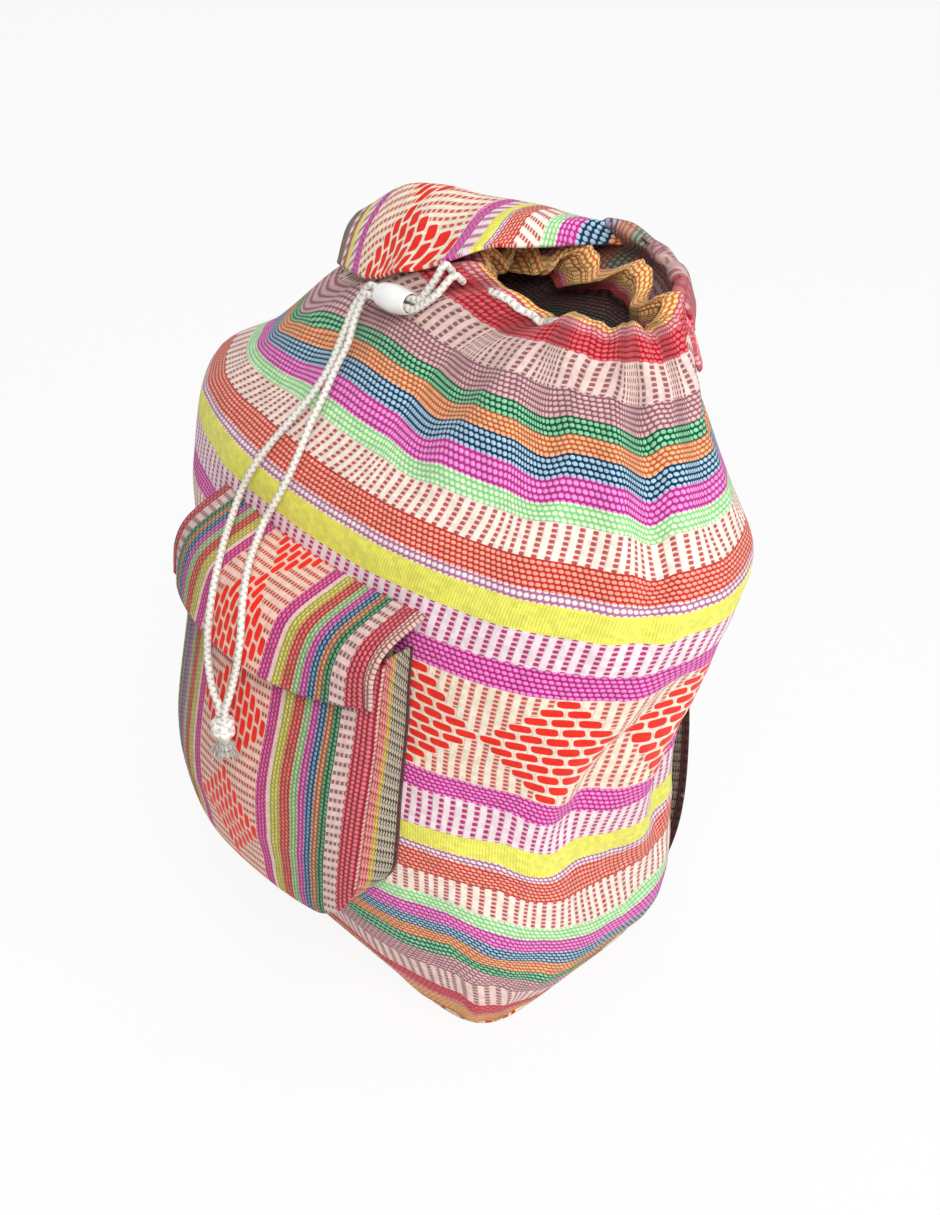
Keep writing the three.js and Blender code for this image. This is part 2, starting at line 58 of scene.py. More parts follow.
def make_camera():
    level = math.cos(CAMERA_ELEVATION)
    back = Vector((
        math.sin(CAMERA_AZIMUTH) * level,
        -math.cos(CAMERA_AZIMUTH) * level,
        math.sin(CAMERA_ELEVATION),
    ))
    right = Vector((math.cos(CAMERA_AZIMUTH), math.sin(CAMERA_AZIMUTH), 0))
    up = back.cross(right)
    turn = Matrix((right, up, back)).transposed().to_4x4()
    data = bpy.data.cameras.new("camera")
    data.sensor_fit = "VERTICAL"
    data.sensor_height = 24
    data.lens = data.sensor_height * FOCAL_PIXELS / PHOTO_HEIGHT
    data.shift_x = FRAME_SHIFT_PIXELS / PHOTO_HEIGHT
    data.shift_y = -FRAME_SHIFT_PIXELS / PHOTO_HEIGHT
    camera = bpy.data.objects.new("camera", data)
    camera.matrix_world = Matrix.Translation(CAMERA_TARGET + back * CAMERA_DISTANCE) @ turn
    bpy.context.scene.collection.objects.link(camera)
    bpy.context.scene.camera = camera


make_camera()

# Form of the stuffed bag, repeated from the part's source

CLOTH = 2.2
SEAM_GAP = 0.4
STRAP_THICKNESS = 2.6
STRAP_WIDTH = 30
RIM = 392.0
FOOT = 2.8
HEM_DEPTH = 20
HEM_WIDTH = 9.0
HEM_FOLD = 1.8
CORD = 3.4

# height, half width, half depth, squareness, shift in X, shift in Y
SECTIONS = np.array([
    (0, 85, 66, 6, 0, 0),
    (10, 91, 71, 5, -1, -1),
    (50, 114, 86, 3.3, -2, -6),
    (100, 122, 92, 2.75, -5, -11),
    (160, 134, 87, 2.5, -10, -12),
    (220, 151, 81, 2.3, -7, -10),
    (280, 161, 81, 2.1, 0, -2),
    (312, 135, 66, 2, 14, 3),
    (345, 110, 46, 2, 20, 10),
    (368, 88, 38, 2, 34, 12),
    (RIM, 52, 31, 2, 60, 12),
], float)

# angle, depth, spread in degrees, reach down the cloth, turn in degrees
GATHERS = [
    (-88, 12, 14, 90, -6),
    (-48, 9, 11, 150, 10),
    (-14, 8, 11, 110, 6),
    (22, 8, 11, 90, 0),
    (58, 9, 11, 110, -5),
    (96, 8, 11, 120, 5),
    (134, 9, 11, 90, 0),
    (172, 7, 10, 110, 4),
    (-151, 6, 9, 110, 5),
    (-121, 6, 9, 120, -4),
]

# Folds pressed into the stuffed cloth: points (angle, height), depth, half width in mm
CREASES = [
    ([(-34, 388), (-30, 361), (-24, 332), (-22, 300), (-24, 272)], 5, 9),
    ([(-66, 382), (-61, 356), (-56, 338), (-54, 318)], 4.5, 8),
    ([(-78, 372), (-83, 347), (-86, 330), (-82, 312)], 5, 9),
    ([(-4, 232), (-12, 190), (-12, 150), (-2, 108), (10, 70)], 7, 15),
    ([(20, 190), (16, 140), (20, 90)], 5, 12),
    ([(150, 300), (146, 240), (152, 170)], 4, 13),
    ([(-46, 60), (-44, 34), (-46, 12)], -3, 9),
]
CREASE_FADE = 25
CREASE_SWELL = 0.3
RIM_DROP = 1.1
RIM_TILT_BACK = 0.05
RIM_TILT_FROM = 300


def track(keys, values):
    """A smooth curve through values at rising keys, without overshoot."""
    keys, values = np.asarray(keys, float), np.asarray(values, float)
    slopes = np.diff(values) / np.diff(keys)
    tangents = np.zeros(len(keys))
    tangents[0], tangents[-1] = slopes[0], slopes[-1]
    for i in range(1, len(keys) - 1):
        before, after = slopes[i - 1], slopes[i]
        if before * after > 0:
            tangents[i] = 2 * before * after / (before + after)

    def at(key):
        key = np.clip(key, keys[0], keys[-1])
        i = np.clip(np.searchsorted(keys, key, side="right") - 1, 0, len(keys) - 2)
        span = keys[i + 1] - keys[i]
        t = (key - keys[i]) / span
        return (
            (2 * t**3 - 3 * t**2 + 1) * values[i]
            + (t**3 - 2 * t**2 + t) * span * tangents[i]
            + (3 * t**2 - 2 * t**3) * values[i + 1]
            + (t**3 - t**2) * span * tangents[i + 1]
        )

    return at


half_width, half_depth, squareness, shift_x, shift_y = (
    track(SECTIONS[:, 0], SECTIONS[:, i]) for i in range(1, 6)
)


def unit(vectors):
    return vectors / np.linalg.norm(vectors, axis=-1, keepdims=True)


def lengths_along(points):
    """Distance of each point from the first one, measured along the row of points."""
    return np.cumsum(np.linalg.norm(np.diff(points, axis=0, prepend=points[:1]), axis=-1), 0)


def section(height, angle):
    power = 2 / squareness(height)
    c, s = np.cos(np.radians(angle)), np.sin(np.radians(angle))
    return np.stack([
        half_width(height) * np.sign(c) * np.abs(c) ** power + shift_x(height),
        half_depth(height) * np.sign(s) * np.abs(s) ** power + shift_y(height),
        height + 0 * angle,
    ], -1)


def apart(a, b):
    """Signed difference of two angles in degrees."""
    return (a - b + 540) % 360 - 180


def gather_depth(height, angle, gathers=None):
    depth = 0 * (height + angle)
    for at, pull, spread, reach, turn in gathers or GATHERS:
        below = np.clip((RIM - height) / reach, 0, 1)
        away = apart(angle, at + turn * below)
        depth = depth + pull * (1 - below) ** 1.2 * np.exp(-((away / (spread * (1 - 0.35 * below))) ** 2))
    return depth


def crease_depth(height, angle):
    depth = 0 * (height + angle)
    scale = (half_width(height) + half_depth(height)) / 2 * math.radians(1)
    for points, pull, width in CREASES:
        nearest = np.full_like(depth, 1e9)
        for (a0, h0), (a1, h1) in zip(points, points[1:]):
            turn = apart(a1, a0)
            du, dv = turn * scale, h1 - h0
            u, v = apart(angle, a0) * scale, height - h0
            t = np.clip((u * du + v * dv) / (du * du + dv * dv), 0, 1)
            nearest = np.minimum(nearest, np.hypot(u - t * du, v - t * dv))
        low, high = min(h for _, h in points), max(h for _, h in points)
        ends = np.clip((height - low) / (2 * CREASE_FADE) + 0.5, 0, 1)
        ends = ends * np.clip((high - height) / (2 * CREASE_FADE) + 0.5, 0, 1)
        x = nearest / width
        depth = depth + pull * ends * (np.exp(-x * x) - CREASE_SWELL * np.exp(-((x - 1.9) ** 2)))
    return depth


def wrinkle_depth(height, angle):
    """Low uneven waves of hand-woven cloth, with small pleats towards the gathered rim."""
    turn = np.radians(angle)
    waves = np.sin(7 * turn + 0.021 * height) * np.sin(0.045 * height + 3 * np.sin(2 * turn))
    waves = waves + 0.6 * np.sin(13 * turn - 0.05 * height + 1.0) * np.sin(0.09 * height + 2 * turn)
    waves = waves + 0.35 * np.sin(23 * turn + 0.11 * height) * np.sin(0.14 * height - 5 * turn)
    neck = np.clip((height - 325) / (RIM - 325), 0, 1)
    pleats = np.sin(31 * turn + 1.5 * np.sin(3 * turn)) + 0.7 * np.sin(47 * turn + 2.0)
    clear_of_straps = 1 - 0.7 * np.clip(np.sin(turn), 0, 1)
    return 0.75 * waves * clear_of_straps + 0.7 * neck * pleats


def wall(height, angle, inset=0.0, wrinkled=True):
    """Points of the bag's wall; inset is measured inwards from the outer face."""
    height = np.asarray(height, float) + 0 * np.asarray(angle, float)
    angle = np.asarray(angle, float) + 0 * height
    around = section(height, angle + 1.5) - section(height, angle - 1.5)
    around = unit(around * (1, 1, 0))
    climb = section(np.minimum(height + 1.5, RIM), angle) - section(np.maximum(height - 1.5, 0), angle)
    pulled = gather_depth(height, angle)
    level = np.stack([-around[..., 1], around[..., 0], 0 * height], -1)
    inward = unit(np.cross(climb, around))
    pressed = inset + crease_depth(height, angle)
    if wrinkled:
        pressed = pressed + wrinkle_depth(height, angle)
    points = section(height, angle) + inward * pressed[..., None] + level * pulled[..., None]
    tilt = np.clip((height - RIM_TILT_FROM) / (RIM - RIM_TILT_FROM), 0, 1) ** 2
    points[..., 2] += tilt * (RIM_TILT_BACK * (points[..., 1] - shift_y(height)) - RIM_DROP * pulled)
    return points


def face_y(x, height, side):
    """The bag's outer face straight in front of (side -1) or behind (side 1) a point."""
    across = np.clip(np.abs(x - shift_x(height)) / half_width(height), 0, 1)
    power = squareness(height)
    return shift_y(height) + side * half_depth(height) * (1 - across**power) ** (1 / power)


# Meshes

def build_mesh(name, points, faces, corner_values=None):
    """A mesh object from points in mm, quads or triangles, and one cloth value per corner."""
    data = bpy.data.meshes.new(name)
    data.from_pydata((np.asarray(points) * MM).tolist(), [], faces)
    if corner_values is not None:
        attribute = data.attributes.new("cloth", "FLOAT_VECTOR", "CORNER")
        attribute.data.foreach_set("vector", np.asarray(corner_values, np.float32).ravel())
    data.polygons.foreach_set("use_smooth", [True] * len(data.polygons))
    data.update()
    piece = bpy.data.objects.new(name, data)
    bpy.context.scene.collection.objects.link(piece)
    return piece


def grid_faces(rows, columns, wrap_rows, wrap_columns, flip=False):
    """Quads of a grid, as vertex numbers and as numbers into a grid that isn't wrapped."""
    r, c = np.meshgrid(
        np.arange(rows if wrap_rows else rows - 1),
        np.arange(columns if wrap_columns else columns - 1),
        indexing="ij",
    )
    r, c = r.ravel(), c.ravel()
    corners = [(r, c), (r, c + 1), (r + 1, c + 1), (r + 1, c)]
    if flip:
        corners = corners[::-1]
    wide = columns + 1 if wrap_columns else columns
    vertices = np.stack([(a % rows) * columns + b % columns for a, b in corners], -1)
    values = np.stack([a * wide + b for a, b in corners], -1)
    return vertices, values


def ring_piece(name, points, values, flip=False):
    """A closed, tyre-like piece from a grid of points that wraps both ways."""
    rows, columns = points.shape[:2]
    faces, corners = grid_faces(rows, columns, True, True, flip)
    return build_mesh(
        name, points.reshape(-1, 3), faces.tolist(), values.reshape(-1, 3)[corners.ravel()]
    )


def sheet_piece(name, points, values, thickness, outside_is_back=False):
    """A sheet of cloth whose front is a grid of points, with its back a thickness behind it
    and a rounded edge between the two."""
    along_u = np.gradient(points, axis=1)
    along_v = np.gradient(points, axis=0)
    normal = unit(np.cross(along_u, along_v))
    back = points - normal * thickness
    rows, columns = points.shape[:2]
    count = rows * columns
    front_faces, front_values = grid_faces(rows, columns, False, False)
    back_faces, back_values = grid_faces(rows, columns, False, False, flip=True)
    number = np.arange(count).reshape(rows, columns)
    border = np.concatenate([number[0, :-1], number[:-1, -1], number[-1, :0:-1], number[:0:-1, 0]])
    flat, flat_back = points.reshape(-1, 3), back.reshape(-1, 3)
    outward = unit(np.roll(flat[border], -1, 0) - np.roll(flat[border], 1, 0))
    outward = np.cross(outward, normal.reshape(-1, 3)[border])
    middle = (flat[border] + flat_back[border]) / 2 + outward * thickness * 0.45
    edge = 2 * count + np.arange(len(border))
    following = np.roll(border, -1)
    edge_following = np.roll(edge, -1)
    rim_front = np.stack([following, border, edge, edge_following], -1)
    rim_back = np.stack([edge_following, edge, border + count, following + count], -1)
    values_front = values.reshape(-1, 3)
    values_edge = values_front[border]
    values_back = values_front + (0, 0, 0 if outside_is_back else 1)
    values_front = values_front + (0, 0, 1 if outside_is_back else 0)
    all_values = np.concatenate([values_front, values_back, values_edge])
    faces = np.concatenate([front_faces, back_faces + count, rim_front, rim_back])
    corners = np.concatenate([front_values, back_values + count, rim_front, rim_back])
    return build_mesh(
        name, np.concatenate([flat, flat_back, middle]), faces.tolist(), all_values[corners.ravel()]
    )


def unit_grid(columns, rows):
    """Arrays u (along a row) and v (down the rows), each from 0 to 1."""
    return np.meshgrid(np.linspace(0, 1, columns), np.linspace(0, 1, rows))


# Materials

def rgb(red, green, blue):
    """A linear colour from 0-255 display values."""
    def linear(value):
        share = value / 255
        return share / 12.92 if share <= 0.04045 else ((share + 0.055) / 1.055) ** 2.4
    return (linear(red), linear(green), linear(blue), 1)


class Nodes:
    """A small builder for one material's node tree."""

    def __init__(self, name):
        self.material = bpy.data.materials.new(name)
        self.material.use_nodes = True
        self.tree = self.material.node_tree
        self.tree.nodes.clear()

    def put(self, socket, value):
        if isinstance(value, bpy.types.NodeSocket):
            self.tree.links.new(value, socket)
        else:
            socket.default_value = value

    def node(self, kind, settings=None, **inputs):
        made = self.tree.nodes.new(kind)
        for key, value in (settings or {}).items():
            setattr(made, key, value)
        for key, value in inputs.items():
            self.put(made.inputs[key.replace("_", " ")], value)
        return made

    def math(self, operation, *values):
        made = self.tree.nodes.new("ShaderNodeMath")
        made.operation = operation
        for socket, value in zip(made.inputs, values):
            self.put(socket, value)
        return made.outputs[0]

    def add(self, a, b):
        return self.math("ADD", a, b)

    def sub(self, a, b):
        return self.math("SUBTRACT", a, b)

    def mul(self, a, b):
        return self.math("MULTIPLY", a, b)

    def wave(self, turns):
        """A cosine with one period for each whole number."""
        return self.math("COSINE", self.mul(turns, 2 * math.pi))

    def step(self, value, low, high):
        """0 below low and 1 above high, smooth between them."""
        made = self.node("ShaderNodeMapRange", {"interpolation_type": "SMOOTHSTEP"})
        for key, number in (("Value", value), ("From Min", low), ("From Max", high)):
            self.put(made.inputs[key], number)
        return made.outputs[0]

    def mix(self, share, a, b):
        made = self.tree.nodes.new("ShaderNodeMix")
        made.data_type = "RGBA"
        self.put(made.inputs[0], share)
        self.put(made.inputs[6], a)
        self.put(made.inputs[7], b)
        return made.outputs[2]

    def blend_numbers(self, share, a, b):
        made = self.tree.nodes.new("ShaderNodeMix")
        self.put(made.inputs[0], share)
        self.put(made.inputs[2], a)
        self.put(made.inputs[3], b)
        return made.outputs[0]

    def ramp(self, value, stops):
        made = self.tree.nodes.new("ShaderNodeValToRGB")
        made.color_ramp.interpolation = "CONSTANT"
        elements = made.color_ramp.elements
        while len(elements) < len(stops):
            elements.new(0.5)
        for element, (at, colour) in zip(elements, stops):
            element.position = at
            element.color = colour
        self.put(made.inputs[0], value)
        return made.outputs[0]

    def noise(self, scale, detail=2.0):
        place = self.node("ShaderNodeTexCoord").outputs["Object"]
        made = self.node("ShaderNodeTexNoise", Vector=place, Scale=scale, Detail=detail)
        return made.outputs[0]

    def oval(self, wide, high, wide_power=2.0, high_power=2.0):
        """How far out of an oval a point is, 1 on its outline; higher powers square it off."""
        return self.add(self.math("POWER", wide, wide_power), self.math("POWER", high, high_power))

    def cloth(self):
        """The cloth coordinate: ribs along a stripe, mm across the stripes, and the reverse side."""
        place = self.node("ShaderNodeAttribute", {"attribute_name": "cloth"}).outputs["Vector"]
        parts = self.node("ShaderNodeSeparateXYZ", Vector=place)
        return parts.outputs[0], parts.outputs[1], parts.outputs[2]

    def surface(self, colour, height, relief, roughness=0.9, sheen=0.15, specular=0.2, coat=0.0):
        bump = self.node("ShaderNodeBump", Strength=1.0, Distance=relief * MM, Height=height)
        shader = self.node("ShaderNodeBsdfPrincipled")
        for key, value in (
            ("Base Color", colour), ("Roughness", roughness), ("Sheen Weight", sheen),
            ("Specular IOR Level", specular), ("Coat Weight", coat), ("Normal", bump.outputs[0]),
        ):
            self.put(shader.inputs[key], value)
        output = self.tree.nodes.new("ShaderNodeOutputMaterial")
        self.tree.links.new(shader.outputs[0], output.inputs[0])
        return self.material


def stripe_ramp(n, place, bands, colours):
    """One colour for each band of the cloth, at its place from 0 to 1."""
    span = bands[-1][0]
    starts = [0.0] + [edge / span for edge, *_ in bands[:-1]]
    return n.ramp(place, list(zip(starts, colours)))


PICK = 2.35
ROW_OF_FLOATS = 5.2
GRAIN_SLANT, FLOAT_SLANT = 0.22, 0.12
FLOAT_RED = (234, 40, 24)
# Keeps the uneven yarns of the two halves, above and below the diamonds, from mirroring
HALVES_APART = 500.0
LENS, RIBS, PLAIN, DIAMOND = (1, 0, 0, 1), (0, 1, 0, 1), (0, 0, 0, 1), (0, 1, 1, 1)

# Stripes from the diamond band outwards: outer edge in mm from its middle, kind of weave,
# colour of the raised yarn and of the yarn between
BODY_BANDS = [
    (28.7, DIAMOND, (246, 228, 206), (206, 84, 76)),
    (41.3, LENS, (250, 140, 214), (190, 14, 124)),
    (57.4, RIBS, (244, 224, 228), (184, 50, 116)),
    (71.2, PLAIN, (244, 242, 112), (208, 198, 36)),
    (76.2, LENS, (250, 232, 234), (184, 116, 152)),
    (89.8, LENS, (246, 168, 142), (204, 44, 46)),
    (105.4, RIBS, (248, 232, 218), (190, 84, 82)),
    (113.8, LENS, (224, 248, 206), (146, 220, 142)),
    (122.2, LENS, (250, 150, 216), (186, 46, 140)),
    (131.6, LENS, (170, 206, 226), (8, 48, 84)),
    (140.6, LENS, (248, 186, 134), (196, 96, 58)),
    (148.0, LENS, (142, 212, 164), (0, 84, 56)),
    (160.5, LENS, (226, 186, 186), (150, 94, 104)),
    (176.5, RIBS, (236, 206, 198), (148, 92, 94)),
    (187.0, LENS, (234, 100, 108), (176, 14, 36)),
    (193.0, LENS, (240, 168, 172), (198, 84, 96)),
    (212.0, LENS, (246, 216, 136), (216, 112, 66)),
    (230.0, LENS, (240, 228, 214), (206, 160, 124)),
]
# The pocket's colours are partly its own cloth and partly painted shade: they are set deeper and duller than
# the body's to stand for the shade on the bag's lower front
POCKET_BANDS = [
    (28.7, DIAMOND, (234, 196, 178), (188, 66, 62)),
    (36.5, LENS, (224, 104, 166), (168, 20, 96)),
    (39.0, PLAIN, (232, 206, 196), (204, 168, 166)),
    (45.5, LENS, (212, 204, 108), (168, 154, 62)),
    (52.5, LENS, (214, 116, 100), (164, 40, 46)),
    (57.5, LENS, (176, 202, 146), (116, 154, 102)),
    (62.0, LENS, (212, 116, 172), (156, 44, 116)),
    (67.0, LENS, (118, 152, 178), (20, 46, 82)),
    (70.5, LENS, (206, 148, 104), (150, 80, 54)),
    (75.0, LENS, (98, 152, 112), (14, 68, 48)),
    (83.0, RIBS, (216, 186, 178), (138, 92, 100)),
    (92.0, LENS, (208, 110, 116), (150, 26, 46)),
    (110.0, LENS, (214, 184, 172), (160, 84, 84)),
]


def woven(name, bands, relief=0.55, phase_ribs=-0.25):
    """Striped cloth: ribs across the stripes, and picks that follow them."""
    n = Nodes(name)
    rib, across, reverse = n.cloth()
    place = n.math("DIVIDE", n.math("ABSOLUTE", across), bands[-1][0])
    pale = stripe_ramp(n, place, bands, [rgb(*raised) for _, _, raised, _ in bands])
    deep = stripe_ramp(n, place, bands, [rgb(*low) for _, _, _, low in bands])
    kinds = stripe_ramp(n, place, bands, [kind for _, kind, _, _ in bands])
    kind = n.node("ShaderNodeSeparateColor", Color=kinds)
    is_lens, is_ribs, is_diamond = kind.outputs[0], kind.outputs[1], kind.outputs[2]

    # Hand weaving wavers a little along each stripe
    waver = n.mul(n.sub(n.noise(38.0), 0.5), 0.5)
    pick = n.add(n.math("DIVIDE", across, PICK), waver)
    pick_row = n.math("FLOOR", pick)
    high = n.sub(n.math("FRACT", pick), 0.5)
    grain = n.add(n.add(n.mul(rib, 2.0), n.mul(pick_row, 0.5)), n.mul(high, GRAIN_SLANT))
    wide = n.sub(n.math("FRACT", grain), 0.5)
    grain_far = n.oval(n.mul(wide, 2.15), n.mul(high, 2.5))
    lens_dark = n.step(grain_far, 0.55, 1.05)
    rib_wide = n.sub(n.math("FRACT", rib), 0.5)
    in_column = n.step(n.math("ABSOLUTE", rib_wide), 0.27, 0.19)
    dash_far = n.oval(n.mul(rib_wide, 4.6), n.mul(high, 3.0), wide_power=4.0)
    dash_dark = n.step(dash_far, 1.3, 0.7)
    row_of_half = n.add(pick_row, n.mul(n.math("SIGN", across), HALVES_APART))
    grain_number = n.node("ShaderNodeCombineXYZ", X=n.math("FLOOR", grain), Y=row_of_half).outputs[0]
    lot = n.node("ShaderNodeTexWhiteNoise", {"noise_dimensions": "2D"}, Vector=grain_number)
    jitter = lot.outputs["Value"]
    fine = n.wave(n.mul(rib, 4.0))

    # Bold floats that fill each diamond, in a brick pattern two ribs wide
    float_row = n.add(n.math("DIVIDE", across, ROW_OF_FLOATS), 5.5)
    row = n.math("FLOOR", float_row)
    reach = n.sub(5.0, n.math("ABSOLUTE", n.sub(row, 5.0)))
    along = n.sub(n.math("FLOORED_MODULO", n.mul(n.sub(rib, phase_ribs), 0.5), 6.0), 3.0)
    inside = n.math("LESS_THAN", n.math("ABSOLUTE", along), n.mul(n.add(reach, 1.0), 0.5))
    phase = n.math("FRACT", n.add(n.add(along, 8.5), n.mul(reach, 0.5)))
    float_high = n.sub(n.math("FRACT", float_row), 0.5)
    float_wide = n.add(n.sub(phase, 0.5), n.mul(float_high, FLOAT_SLANT))
    float_far = n.oval(n.mul(float_wide, 2.35), n.mul(float_high, 2.6), 4.0, 4.0)
    bold = n.mul(n.mul(n.step(float_far, 1.25, 0.75), inside), is_diamond)
    quiet = n.sub(1.0, n.mul(inside, is_diamond))

    between = n.mix(0.35, pale, deep)
    ribs_dark = n.mul(n.mul(in_column, dash_dark), quiet)
    ribs_base = n.mix(n.mul(n.mul(in_column, 0.45), quiet), pale, between)
    plain = n.mix(n.add(0.25, n.mul(fine, 0.25)), pale, deep)
    lens_colour = n.mix(lens_dark, pale, deep)
    ribs_colour = n.mix(ribs_dark, ribs_base, deep)
    colour = n.mix(is_ribs, plain, ribs_colour)
    colour = n.mix(is_lens, colour, lens_colour)
    colour = n.mix(bold, colour, rgb(*FLOAT_RED))

    # Uneven dye, a little soiling, and the duller reverse side
    patches = n.noise(14.0, detail=4.0)
    shade = n.add(0.93, n.mul(patches, 0.14))
    yarn = n.add(0.92, n.mul(n.noise(900.0), 0.16))
    grey = n.mul(n.mul(shade, yarn), n.add(0.9, n.mul(jitter, 0.2)))
    tint = n.node("ShaderNodeCombineColor", Red=grey, Green=grey, Blue=grey)
    toned = n.node("ShaderNodeMix", {"data_type": "RGBA", "blend_type": "MULTIPLY"})
    n.put(toned.inputs[0], 1.0)
    n.put(toned.inputs[6], colour)
    n.put(toned.inputs[7], tint.outputs[0])
    colour = toned.outputs[2]
    colour = n.mix(n.mul(reverse, 0.55), colour, rgb(150, 108, 112))

    lens_height = n.sub(1.0, n.math("MINIMUM", n.mul(grain_far, 0.6), 1.0))
    rib_height = n.sub(1.15, n.mul(in_column, n.sub(0.65, n.mul(dash_dark, 0.3))))
    plain_height = n.add(0.7, n.mul(fine, 0.12))
    height = n.blend_numbers(is_ribs, plain_height, rib_height)
    height = n.blend_numbers(is_lens, height, lens_height)
    height = n.math("MAXIMUM", height, n.mul(bold, 1.25))
    height = n.add(height, n.mul(yarn, 0.25))
    return n.surface(colour, height, relief)


# Webbing bands: outer edge as a share of the width, raised yarn, yarn between
WEBBING_BANDS = [
    (0.06, (190, 92, 92), (120, 20, 30)),
    (0.28, (226, 150, 142), (168, 32, 44)),
    (0.40, (220, 188, 76), (158, 118, 40)),
    (0.88, (190, 182, 158), (22, 18, 20)),
    (1.0, (92, 42, 40), (44, 14, 18)),
]


def webbing(name):
    """Twill-woven band: x runs along it in ribs, y across it from 0 to 1."""
    n = Nodes(name)
    along, share, _ = n.cloth()
    pale = stripe_ramp(n, share, WEBBING_BANDS, [rgb(*raised) for _, raised, _ in WEBBING_BANDS])
    deep = stripe_ramp(n, share, WEBBING_BANDS, [rgb(*low) for _, _, low in WEBBING_BANDS])
    rows = n.mul(share, 13.0)
    swing = n.mul(n.mul(n.wave(n.mul(rows, 0.5)), n.wave(along)), 0.27)
    cell = n.wave(n.sub(rows, swing))
    twill = n.wave(n.add(n.mul(along, 0.5), n.mul(rows, 0.25)))
    dark = n.step(n.add(n.mul(cell, 0.7), n.mul(twill, 0.5)), -0.35, 0.5)
    colour = n.mix(dark, pale, deep)
    worn = n.step(n.noise(320.0, detail=3.0), 0.62, 0.8)
    colour = n.mix(n.mul(worn, 0.3), colour, rgb(214, 196, 182))
    height = n.add(n.sub(0.5, n.mul(cell, 0.4)), n.mul(n.noise(900.0), 0.3))
    return n.surface(colour, height, 0.6)


def braid(name):
    """White braided cotton: x counts the plaits along the cord, y goes once round it."""
    n = Nodes(name)
    along, turn, _ = n.cloth()
    left = n.wave(n.add(along, n.mul(turn, 2.0)))
    right = n.wave(n.sub(along, n.mul(turn, 2.0)))
    plait = n.math("MAXIMUM", left, right)
    # Painted shade: the grooves between the plaits get a grey colour where the braid dips and shade would
    # fall
    dark = n.step(plait, 0.35, -0.35)
    fuzz = n.noise(1500.0, detail=3.0)
    colour = n.mix(n.mul(dark, 0.6), rgb(246, 243, 234), rgb(176, 170, 160))
    colour = n.mix(n.mul(n.step(n.noise(40.0), 0.45, 0.7), 0.16), colour, rgb(190, 180, 166))
    height = n.add(n.mul(plait, 0.5), n.mul(fuzz, 0.4))
    return n.surface(colour, height, 0.5, roughness=0.85, sheen=0.2)


def glossy_bead(name):
    n = Nodes(name)
    colour = n.mix(n.step(n.noise(60.0, detail=3.0), 0.4, 0.75), rgb(250, 249, 246), rgb(232, 229, 222))
    return n.surface(colour, n.noise(220.0), 0.03, roughness=0.22, sheen=0.0, specular=0.5, coat=0.4)


body_cloth = woven("body_cloth", BODY_BANDS)
pocket_cloth = woven("pocket_cloth", POCKET_BANDS, relief=0.5, phase_ribs=0.0)
flap_cloth = woven("flap_cloth", BODY_BANDS, phase_ribs=0.0)
band_cloth = webbing("band_cloth")
cord_cotton = braid("cord_cotton")
bead_gloss = glossy_bead("bead_gloss")


def dress(piece, material, slot_name, *nodes, body="bag"):
    piece.data.materials.append(material)
    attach(piece, body)
    if nodes:
        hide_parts(*nodes)
    return piece


# Bag wall

RIBS_ROUND = 132
RIB_PITCH = 5.7
WALL_COLUMNS = 480
TUCK_REACH = 110
TUCK_SPREAD = 3.2
# Folds that hide the spare cloth of the neck: angle at the rim, its turn down the cloth, share
TUCKS = [
    (-88, -2, 1.2), (-65, 10, 0.8), (-34, 9, 1.2), (-8, 6, 0.8), (22, 0, 1), (58, -5, 1),
    (96, 5, 1), (134, 0, 1), (172, 4, 1), (-151, 5, 0.8), (-121, -4, 1),
]
DIAMOND_MIDDLE = 211.5
# Heights of the stripes' upper edges above the diamond band's middle, for UPPER_EDGES
UPPER_HEIGHTS = [
    241, 255, 272, 285, 290.5, 301, 313.5, 320.5, 328.5, 336.5, 343, 350, 361, 377, 387, 391, 400,
]
# The same below it at some angles: the cloth hangs lower towards the dented side
LOWER_HEIGHTS = {
    -50: [185, 174, 152, 143, 138, 126, 113, 105, 97, 90, 83, 73, 61, 46, 34, 26, 6],
    -35: [182, 171, 151, 139, 133, 123, 105, 95, 85, 76, 70, 61, 53, 33, 19, 13, 4],
    -18: [172, 159, 139, 127, 122, 110, 93, 84, 75, 67, 58, 49, 41, 25, 15, 10, 3],
    3: [168, 152, 132, 117, 109, 91, 70, 60, 51, 43, 37, 31, 26, 18, 12, 8, 2],
}
UPPER_EDGES = [edge for edge, *_ in BODY_BANDS[:-1]]
# Stripe coordinates at the rim and the foot, and where the upper ones start to be fitted
STRIPES_AT_RIM, STRIPES_AT_FOOT, STRIPES_LOOSE = 191.0, -215.0, 150.0
# The middle of the side that the photograph shows, and how far it goes in degrees
SHOWN_SIDE, SHOWN_REACH, SHOWN_FADE = -45, 62, 50
# Dip of the stripes in a fold: from this height up to the rim
DIP, DIP_FROM, DIP_FADE, DIP_FADE_AT_RIM = 0.6, 262, 50, 30


def even_angles(height, columns, ribs=0):
    """Angles that space points evenly along the cloth at a height, from the front's middle.

    With ribs, the cloth that the narrow neck has no room for is tucked into the gathers.
    """
    fine = np.linspace(90, 450, 2881)
    points = wall(height, fine)
    steps = np.linalg.norm(np.diff(points, axis=0), axis=1)
    spare = max(ribs - steps.sum() / RIB_PITCH, 0)
    if spare > 0:
        middle = (fine[:-1] + fine[1:]) / 2
        tucks = np.zeros_like(middle)
        below = min((RIM - height) / TUCK_REACH, 1)
        for at, turn, share in TUCKS:
            away = apart(middle, at + turn * below)
            tucks += share * (1 - 0.6 * below) * np.exp(-((away / TUCK_SPREAD) ** 2))
        steps = steps / RIB_PITCH + spare * tucks / tucks.sum()
    length = np.concatenate([[0], np.cumsum(steps)])
    return np.interp(np.arange(columns) / columns * length[-1], length, fine)


